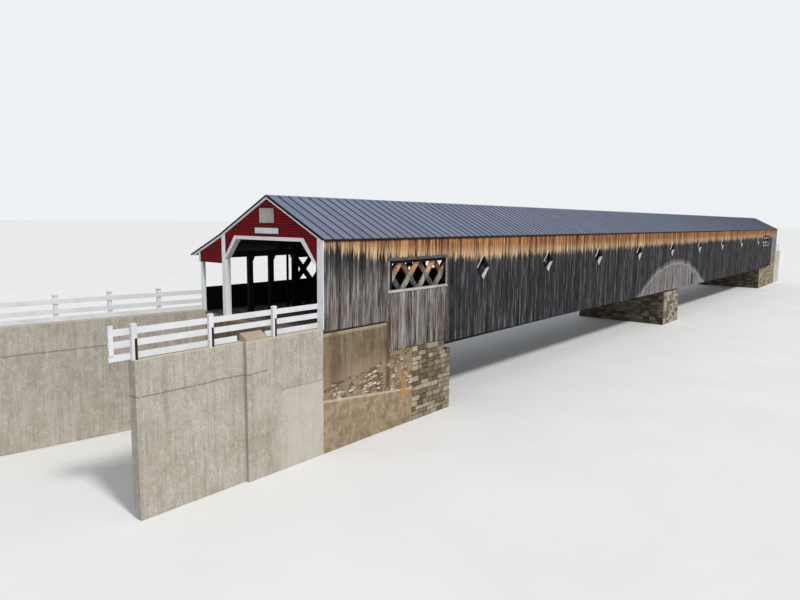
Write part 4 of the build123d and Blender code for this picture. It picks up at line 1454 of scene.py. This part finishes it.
near_lining = portal_lining("near_portal_lining", 0.2 * MM, LINING_DEPTH)
far_lining = portal_lining("far_portal_lining", LENGTH - LINING_DEPTH, LENGTH - 0.2 * MM)
print("lining faces:", faces_of(near_lining), faces_of(far_lining))

# %% [markdown]
# ## Two bare plates over the road
# A square pale plate hangs high in the gable and a long white one below it. Both stay bare.
# Each is a thin board with bevelled front edges. The long one lies on a wider black board,
# which shows around it as a rim.

# %% The plates
BLACK_PAINT = paint("black_paint", (0.012, 0.012, 0.013), (0.03, 0.03, 0.03), (1, 0.1, 1), 0.4)
PLATE_PAINT = paint("pale_plate", (0.40, 0.42, 0.38), (0.25, 0.26, 0.23), (1, 1, 1), 0.8)
SQUARE_PLATE = (-51 * MM, 55 * MM, 1052 * MM, 1121 * MM)
LONG_PLATE = (-89 * MM, 95 * MM, 996 * MM, 1033 * MM)
RIM = 5 * MM
PLATE_BACK = -1.0 * MM
PLATE_FRONT = -4.0 * MM
WHITE_FRONT = -4.6 * MM


def plate(name, y_low, y_high, z_low, z_high, front, finish):
    """A thin board on the clapboards, with its face at a place along the bridge."""
    board = start_box(name, (front, y_low, z_low), (PLATE_BACK, y_high, z_high))
    select_edges(board, lambda corner: abs(corner.x - front) < 1e-6)
    bevel_selected(0.5 * MM)
    return carry(board, finish)


inside_rim = [edge + RIM * side for edge, side in zip(LONG_PLATE, (1, -1, 1, -1))]
square_plate = plate("square_plate", *SQUARE_PLATE, PLATE_FRONT, PLATE_PAINT)
long_frame = plate("long_plate_frame", *LONG_PLATE, PLATE_FRONT, BLACK_PAINT)
long_plate = plate("long_plate", *inside_rim, WHITE_FRONT, WHITE_PAINT)
print("plates:", square_plate.name, long_frame.name, long_plate.name)

# %% [markdown]
# ## Pins of the lattice
# Where two planks of the lattice cross, wooden pins hold them together, two at each
# crossing. A pin goes right through and stands out a little on both faces. One pin with
# six sides is enough at this size. An array repeats it along the bridge, which makes one
# row. There is a row for each level and each of the two pins, and every other level is
# shifted by half a bay. Where the chords lie over the planks, the pins are longer.

# %% Pins at every crossing
PIN_RADIUS = 3.2 * MM
PIN_FROM_CROSSING = 7 * MM
PIN_STICKS_OUT = 1.5 * MM
BAY = 142 * MM
ROW_RISE = 80 * MM
LOWEST_ROW = ROAD - 182.5 * MM
NEAR_CROSSING = 576 * MM
WALK_CROSSING = 615 * MM
CHORD_ROWS = (0, 1, 6, 7)
PLANK_INSET = 10 * MM
LAST_PINS = LENGTH - 500 * MM


def pin(x, middle, level, length):
    """One pin across the truss."""
    deselect()
    bpy.ops.mesh.primitive_cylinder_add(
        vertices=6,
        radius=PIN_RADIUS,
        depth=length,
        location=(x, middle, level),
        rotation=(radians(90), 0, 0),
    )
    rod = bpy.context.object
    settle(rod)
    return rod


def lattice_pins(name, first_crossing, y_low, y_high):
    """The pins of one truss, whose faces lie at y_low and y_high."""
    rows = []
    for row in range(8):
        inset = 0 if row in CHORD_ROWS else PLANK_INSET
        length = y_high - y_low - 2 * inset + 2 * PIN_STICKS_OUT
        level = LOWEST_ROW + row * ROW_RISE
        crossing = first_crossing + (row % 2) * BAY / 2
        bays = int((LAST_PINS - crossing) / BAY) + 1
        for side in (-1, 1):
            x = crossing + side * PIN_FROM_CROSSING
            rod = pin(x, (y_low + y_high) / 2, level, length)
            repeat_along(rod, bays, (BAY, 0, 0))
            rows.append(rod)
    return carry(join(name, rows), FRAME_TIMBER)


near_low, near_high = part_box("near_truss_chords")
walk_low, walk_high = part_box("sidewalk_truss_chords")
near_pins = lattice_pins("near_truss_pins", NEAR_CROSSING, near_low.y, near_high.y)
walk_pins = lattice_pins("sidewalk_truss_pins", WALK_CROSSING, walk_low.y, walk_high.y)
print("pin faces:", faces_of(near_pins), faces_of(walk_pins))

# %% [markdown]
# ## Stones
# The pier is laid in courses of cut stone, and the older abutments in rubble. A stone
# starts as a box that reaches a little into the wall and stands a little proud of it. Its
# outer corners are moved by chance, which makes it look split and not sawn.

# %% One stone
JOINT = 1.2 * MM
TAIL = 6 * MM
PROUD_MM = (1.2, 2.3)


def start_stone(chance, u_low, u_high, z_low, z_high, rough):
    """One stone in the wall's own directions: along it, out of it and up."""
    proud = chance.uniform(*PROUD_MM) * MM
    corners = []
    for out in (-TAIL, proud):
        for u, z in ((u_low, z_low), (u_high, z_low), (u_high, z_high), (u_low, z_high)):
            shift = [chance.uniform(-rough, rough) / 2 for axis in "xyz"]
            if out == -TAIL:
                shift = [0, 0, 0]
            corners.append((u + shift[0], out + shift[1], z + shift[2]))
    faces = [(0, 1, 2, 3), (4, 5, 6, 7), (0, 1, 5, 4), (1, 2, 6, 5), (2, 3, 7, 6), (3, 0, 4, 7)]
    mesh = bpy.data.meshes.new("stone")
    mesh.from_pydata(corners, [], faces)
    store_on_faces(mesh, "stone_tone", chance.random())
    stone = bpy.data.objects.new("stone", mesh)
    bpy.context.scene.collection.objects.link(stone)
    return stone


print("a stone reaches", TAIL / MM, "mm into the wall")

# %% [markdown]
# ## A wall of stones
# A wall is laid course by course from its foot, and each course stone by stone. Heights and
# widths are drawn by chance, and the last one takes what is left. After all the stones of a
# wall are joined, one bevel rounds their edges to the same small width. Each side of the
# masonry is a pair of directions: one along the wall and one out of it.

# %% Lay a wall of stones
SIDES = {
    "river": ((1, 0, 0), (0, -1, 0)),
    "sidewalk": ((1, 0, 0), (0, 1, 0)),
    "near": ((0, 1, 0), (-1, 0, 0)),
    "far": ((0, 1, 0), (1, 0, 0)),
}


def pieces(chance, start, end, usual, spread, least):
    """Cut a length by chance. Each piece is the usual size times a draw from the spread,
    and a rest under the least share of the usual size goes to the last piece."""
    while start < end - 1e-6:
        size = usual * chance.uniform(*spread)
        if end - start - size < usual * least:
            size = end - start
        yield start, size
        start += size


def set_in_wall(stone, side, foot, lean):
    """Take a stone from the wall's own directions to the bridge's."""
    along, outwards = (Vector(direction) for direction in SIDES[side])
    for corner in stone.data.vertices:
        across, out, up = corner.co
        spot = Vector((*foot, 0)) + across * along + (out - lean * up) * outwards
        corner.co = (spot.x, spot.y, up)


def stone_wall(name, side, foot, length, low, high, masonry, seed):
    """Stones on one face. foot is the corner where the wall starts, and masonry holds the
    usual height and length of its stones, how rough they are, how far the face leans
    inwards per metre of height, and the finishes in the light and in the shade."""
    chance = random.Random(seed)
    stones = []
    for z, height in pieces(chance, low, high, masonry["course"], (0.8, 1.2), 0.5):
        for u, width in pieces(chance, 0.0, length, masonry["stone"], (0.6, 1.5), 0.45):
            edges = (u + JOINT, u + width - JOINT, z + JOINT, z + height - JOINT)
            stone = start_stone(chance, *edges, masonry["rough"])
            set_in_wall(stone, side, foot, masonry["lean"])
            stones.append(stone)
    wall = join(name, stones)
    open_mesh(wall, action="SELECT")
    bpy.ops.mesh.normals_make_consistent(inside=False)
    bpy.ops.object.mode_set(mode="OBJECT")
    apply_modifier(wall, "BEVEL", width=1.6 * MM, segments=1, limit_method="ANGLE")
    print(name, "faces:", faces_of(wall))
    under_the_deck = side in ("near", "far")
    return carry(wall, masonry["shaded" if under_the_deck else "lit"])


print("sides of the masonry:", *SIDES)

# %% [markdown]
# ## The pier
# The pier is laid in cut stone on all four sides, each from draws of its own. The faces
# lean inwards, by as much as the pier narrows from its foot to the line of the boards.

# %% Lay the pier's stones
pier_low, pier_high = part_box("river_pier")
CUT_STONE = {
    "course": 34 * MM,
    "stone": 62 * MM,
    "rough": 1.6 * MM,
    "lean": (NEAR_FACE - pier_low.y) / pier_high.z,
    "lit": PIER_STONE,
    "shaded": STONE_IN_SHADE,
}
pier_length = pier_high.x - pier_low.x
pier_width = pier_high.y - pier_low.y
pier_walls = (
    ("pier_river_side", "river", (pier_low.x, pier_low.y), pier_length),
    ("pier_sidewalk_side", "sidewalk", (pier_low.x, pier_high.y), pier_length),
    ("pier_near_side", "near", (pier_low.x, pier_low.y), pier_width),
    ("pier_far_side", "far", (pier_high.x, pier_low.y), pier_width),
)
for number, (name, side, foot, length) in enumerate(pier_walls):
    stone_wall(name, side, foot, length, 0.0, pier_high.z, CUT_STONE, 40 + number)

# %% [markdown]
# ## Rubble on the two abutments
# The old abutments are laid in rougher stones than the pier: flatter, less even, and with
# upright faces. The same function lays them, face by face. Where the boarding hangs down in
# front of the far abutment, the stones stop just below it.

# %% Lay the abutments' stones
RUBBLE = {
    "course": 27 * MM,
    "stone": 52 * MM,
    "rough": 2.6 * MM,
    "lean": 0.0,
    "lit": STONE,
    "shaded": STONE_IN_SHADE,
}
near_stone_low, near_stone_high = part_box("near_stone_abutment")
far_stone_low, far_stone_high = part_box("far_stone_abutment")
seat = far_stone_high.z
first_window_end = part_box("wall_panels")[0].x
long_boards_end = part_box("far_vestibule_wall")[0].x
under_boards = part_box("wall_panels")[0].z - 3 * MM
near_foot = (near_stone_low.x, NEAR_FACE)
near_length = near_stone_high.x - near_stone_low.x
far_foot = (far_stone_low.x, far_stone_low.y)
rubble_walls = (
    ("near_stones_river_side", "river", near_foot, near_length, 0.0, seat),
    (
        "near_stones_under_boards", "river", near_foot,
        first_window_end - near_stone_low.x, seat, near_stone_high.z,
    ),
    (
        "near_stones_over_river", "far", (near_stone_high.x, NEAR_FACE),
        near_stone_high.y - NEAR_FACE, 0.0, seat,
    ),
    (
        "near_stones_sidewalk_side", "sidewalk", (near_stone_low.x, near_stone_high.y),
        near_length, 0.0, seat,
    ),
    (
        "far_stones_over_river", "near", far_foot,
        far_stone_high.y - far_stone_low.y, 0.0, seat,
    ),
    (
        "far_stones_under_boards", "river", far_foot,
        long_boards_end - far_stone_low.x, 0.0, under_boards,
    ),
    (
        "far_stones_river_side", "river", (long_boards_end, far_stone_low.y),
        far_stone_high.x - long_boards_end, 0.0, seat,
    ),
    (
        "far_stones_sidewalk_side", "sidewalk", (far_stone_low.x, far_stone_high.y),
        far_stone_high.x - far_stone_low.x, 0.0, seat,
    ),
)
for number, (name, side, foot, length, low, high) in enumerate(rubble_walls):
    stone_wall(name, side, foot, length, low, high, RUBBLE, 60 + number)

# %% [markdown]
# ## Sills and heads of the windows
# Each window has a thicker board along its foot, bleached by the weather, and a dark one
# over its head. They reach a little beyond the frame at both ends.

# %% Window sills and heads
SILL_STANDS_OUT = 2.4 * MM
SILL_OVERLAP = 15 * MM


def window_board(name, x_low, x_high, z_low, z_high, finish):
    """A level board over the frame of a window, with bevelled front edges."""
    frame_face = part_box("window_frames")[0].y
    front = frame_face - SILL_STANDS_OUT
    board = start_box(name, (x_low, front, z_low), (x_high, frame_face + 1 * MM, z_high))
    select_edges(board, lambda corner: abs(corner.y - front) < 1e-6)
    bevel_selected(0.6 * MM)
    return carry(board, finish)


foot, top = (corner.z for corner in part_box("window_frames"))
for number, (low, high) in enumerate(window_boxes(), start=1):
    ends = (low[0] - SILL_OVERLAP, high[0] + SILL_OVERLAP)
    sill_name = "window_sill_%d" % number
    head_name = "window_head_%d" % number
    window_board(sill_name, *ends, foot - 1 * MM, low[2] + 1 * MM, SILL_TIMBER)
    window_board(head_name, *ends, high[2] - 1 * MM, top + 1 * MM, HEAD_TIMBER)
    print(sill_name, "and", head_name)

# %% [markdown]
# ## Caps on the fence posts
# Every post of the white fences ends in a shallow cap that sheds the rain. A cap starts as
# a flat box, a little wider than its post. Its top is inset and lifted, so that all four
# sides slope.

# %% Post caps
CAP_LAP = 1.2 * MM
CAP_RIM_BOTTOM, CAP_RIM_TOP = -1.5 * MM, 1.2 * MM
CAP_INSET = 5.5 * MM
CAP_RISE = 3.2 * MM


def post_cap(name, x_low, x_high, y_low, y_high, top):
    """A cap on one post, its sides sloping up to a small flat top."""
    cap = start_box(
        name,
        (x_low - CAP_LAP, y_low - CAP_LAP, top + CAP_RIM_BOTTOM),
        (x_high + CAP_LAP, y_high + CAP_LAP, top + CAP_RIM_TOP),
    )
    select_faces(cap, lambda middle: middle.z > top + 1 * MM)
    bpy.ops.mesh.inset(thickness=CAP_INSET)
    move_selected(z=CAP_RISE)
    return cap


print("a cap rises by", CAP_RISE / MM, "mm")

# %% [markdown]
# ## A cap on every post
# The posts are found in the mesh of the fence itself, where their upper corners are the
# highest points. Going along the bridge, a gap wider than a post starts the next group.
# A group may hold two posts, one on each side of the bridge.

# %% Caps for every fence
WIDEST_POST = 30 * MM


def posts_in(node, widest):
    """The upper corners of a fence's tallest posts, in groups along the bridge."""
    mesh = frame["nodes"][node].data
    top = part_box(node)[1].z
    corners = [v.co for v in mesh.vertices if abs(v.co.z - top) < 1e-5]
    places = []
    for corner in sorted(corners, key=lambda co: co.x):
        if not places or corner.x - places[-1][-1].x > widest:
            places.append([])
        places[-1].append(corner)
    return top, places


def split_rows(group):
    """Posts at the same place along the bridge, but on different sides of it."""
    near_side = [co for co in group if co.y < 0]
    walk_side = [co for co in group if co.y >= 0]
    return [row for row in (near_side, walk_side) if row]


def fence_caps(name, node, widest):
    """One cap on every post of a fence."""
    top, groups = posts_in(node, widest)
    caps = []
    for group in groups:
        for row in split_rows(group):
            x_low, x_high = min(co.x for co in row), max(co.x for co in row)
            y_low, y_high = min(co.y for co in row), max(co.y for co in row)
            caps.append(post_cap(name, x_low, x_high, y_low, y_high, top))
    return carry(join(name, caps), WHITE_PAINT), len(caps)


for fence in ("near_fence", "sidewalk_fence", "far_fences"):
    caps, count = fence_caps(fence + "_caps", fence, WIDEST_POST)
    print(caps.name, count)

# %% [markdown]
# ## The floor
# The bridge is shown on a plain pale floor. It lies just below the foot of the masonry, and
# it isn't part of the bridge.

# %% The floor
FLOOR_LEVEL = -1.5 * MM


def plain_floor():
    deselect()
    bpy.ops.mesh.primitive_plane_add(size=400, location=(5, 0, FLOOR_LEVEL))
    floor = bpy.context.object
    floor.name = "floor"
    finish = Finish("plain_floor", roughness=0.9)
    grain = finish.noise(2.0, detail=3)
    finish.colour(finish.ramp(grain, (0.3, (0.80, 0.80, 0.80)), (0.7, (0.84, 0.84, 0.84))))
    floor.data.materials.append(finish.material)
    return floor


floor = plain_floor()
print(floor.name, "at", FLOOR_LEVEL / MM, "mm")

# %% [markdown]
# ## The light
# One large soft sun stands over the near bank, on the left behind the camera, and a pale
# sky fills the shadows. Both are weak enough that a colour comes out about as it was mixed.

# %% The light
def background(nodes, colour, strength):
    added = nodes.new("ShaderNodeBackground")
    added.inputs["Color"].default_value = (*colour, 1)
    added.inputs["Strength"].default_value = strength
    return added


def sky():
    """A bluish light on the bridge, and a paler grey where the camera sees the sky."""
    world = bpy.data.worlds.new("pale_sky")
    bpy.context.scene.world = world
    world.use_nodes = True
    nodes, links = world.node_tree.nodes, world.node_tree.links
    nodes.clear()
    rays = nodes.new("ShaderNodeLightPath")
    seen = nodes.new("ShaderNodeMath")
    seen.operation = "MAXIMUM"
    links.new(rays.outputs["Is Camera Ray"], seen.inputs[0])
    links.new(rays.outputs["Is Transmission Ray"], seen.inputs[1])
    lit = background(nodes, (0.90, 0.95, 1.0), 0.55)
    shown = background(nodes, (0.86, 0.88, 0.90), 1.0)
    both = nodes.new("ShaderNodeMixShader")
    links.new(seen.outputs[0], both.inputs[0])
    links.new(lit.outputs[0], both.inputs[1])
    links.new(shown.outputs[0], both.inputs[2])
    end = nodes.new("ShaderNodeOutputWorld")
    links.new(both.outputs[0], end.inputs["Surface"])


def soft_sun():
    lamp = bpy.data.lights.new("soft_sun", "SUN")
    lamp.energy = 2.3
    lamp.angle = radians(8)
    lamp.color = (1.0, 0.97, 0.93)
    sun = bpy.data.objects.new("soft_sun", lamp)
    bpy.context.scene.collection.objects.link(sun)
    towards = Vector((0.10, 0.78, -0.80))
    sun.rotation_euler = towards.to_track_quat("-Z", "Y").to_euler()


sky()
soft_sun()
bpy.context.scene.view_settings.view_transform = "Standard"
print("the light is set")

# %% [markdown]
# ## The camera
# The view is that of the photograph: from the near bank, a little above the eave's height,
# looking along the river side. The three angles and the lens were worked out from the
# bridge's own straight lines.

# %% Set the camera
PHOTO_WIDTH_IN_PIXELS = 800
FOCAL_LENGTH_IN_PIXELS = 630.96
CAMERA_PLACE = (-1.943, -2.415, 1.070)
YAW, PITCH, ROLL = radians(39.31), radians(-7.19), radians(0.61)


def photo_camera():
    data = bpy.data.cameras.new("photo_view")
    data.sensor_width = 36
    data.lens = data.sensor_width * FOCAL_LENGTH_IN_PIXELS / PHOTO_WIDTH_IN_PIXELS
    data.clip_start = 0.01
    data.clip_end = 1000
    camera = bpy.data.objects.new("photo_view", data)
    bpy.context.scene.collection.objects.link(camera)
    ahead = Vector((cos(PITCH) * cos(YAW), cos(PITCH) * sin(YAW), sin(PITCH)))
    right = Vector((sin(YAW), -cos(YAW), 0))
    up = right.cross(ahead)
    tilted_right = cos(ROLL) * right + sin(ROLL) * up
    tilted_up = -sin(ROLL) * right + cos(ROLL) * up
    turn = Matrix((tilted_right, tilted_up, -ahead)).transposed().to_4x4()
    camera.matrix_world = Matrix.Translation(CAMERA_PLACE) @ turn
    bpy.context.scene.camera = camera
    return camera


camera = photo_camera()
print("lens", round(camera.data.lens, 2), "mm")
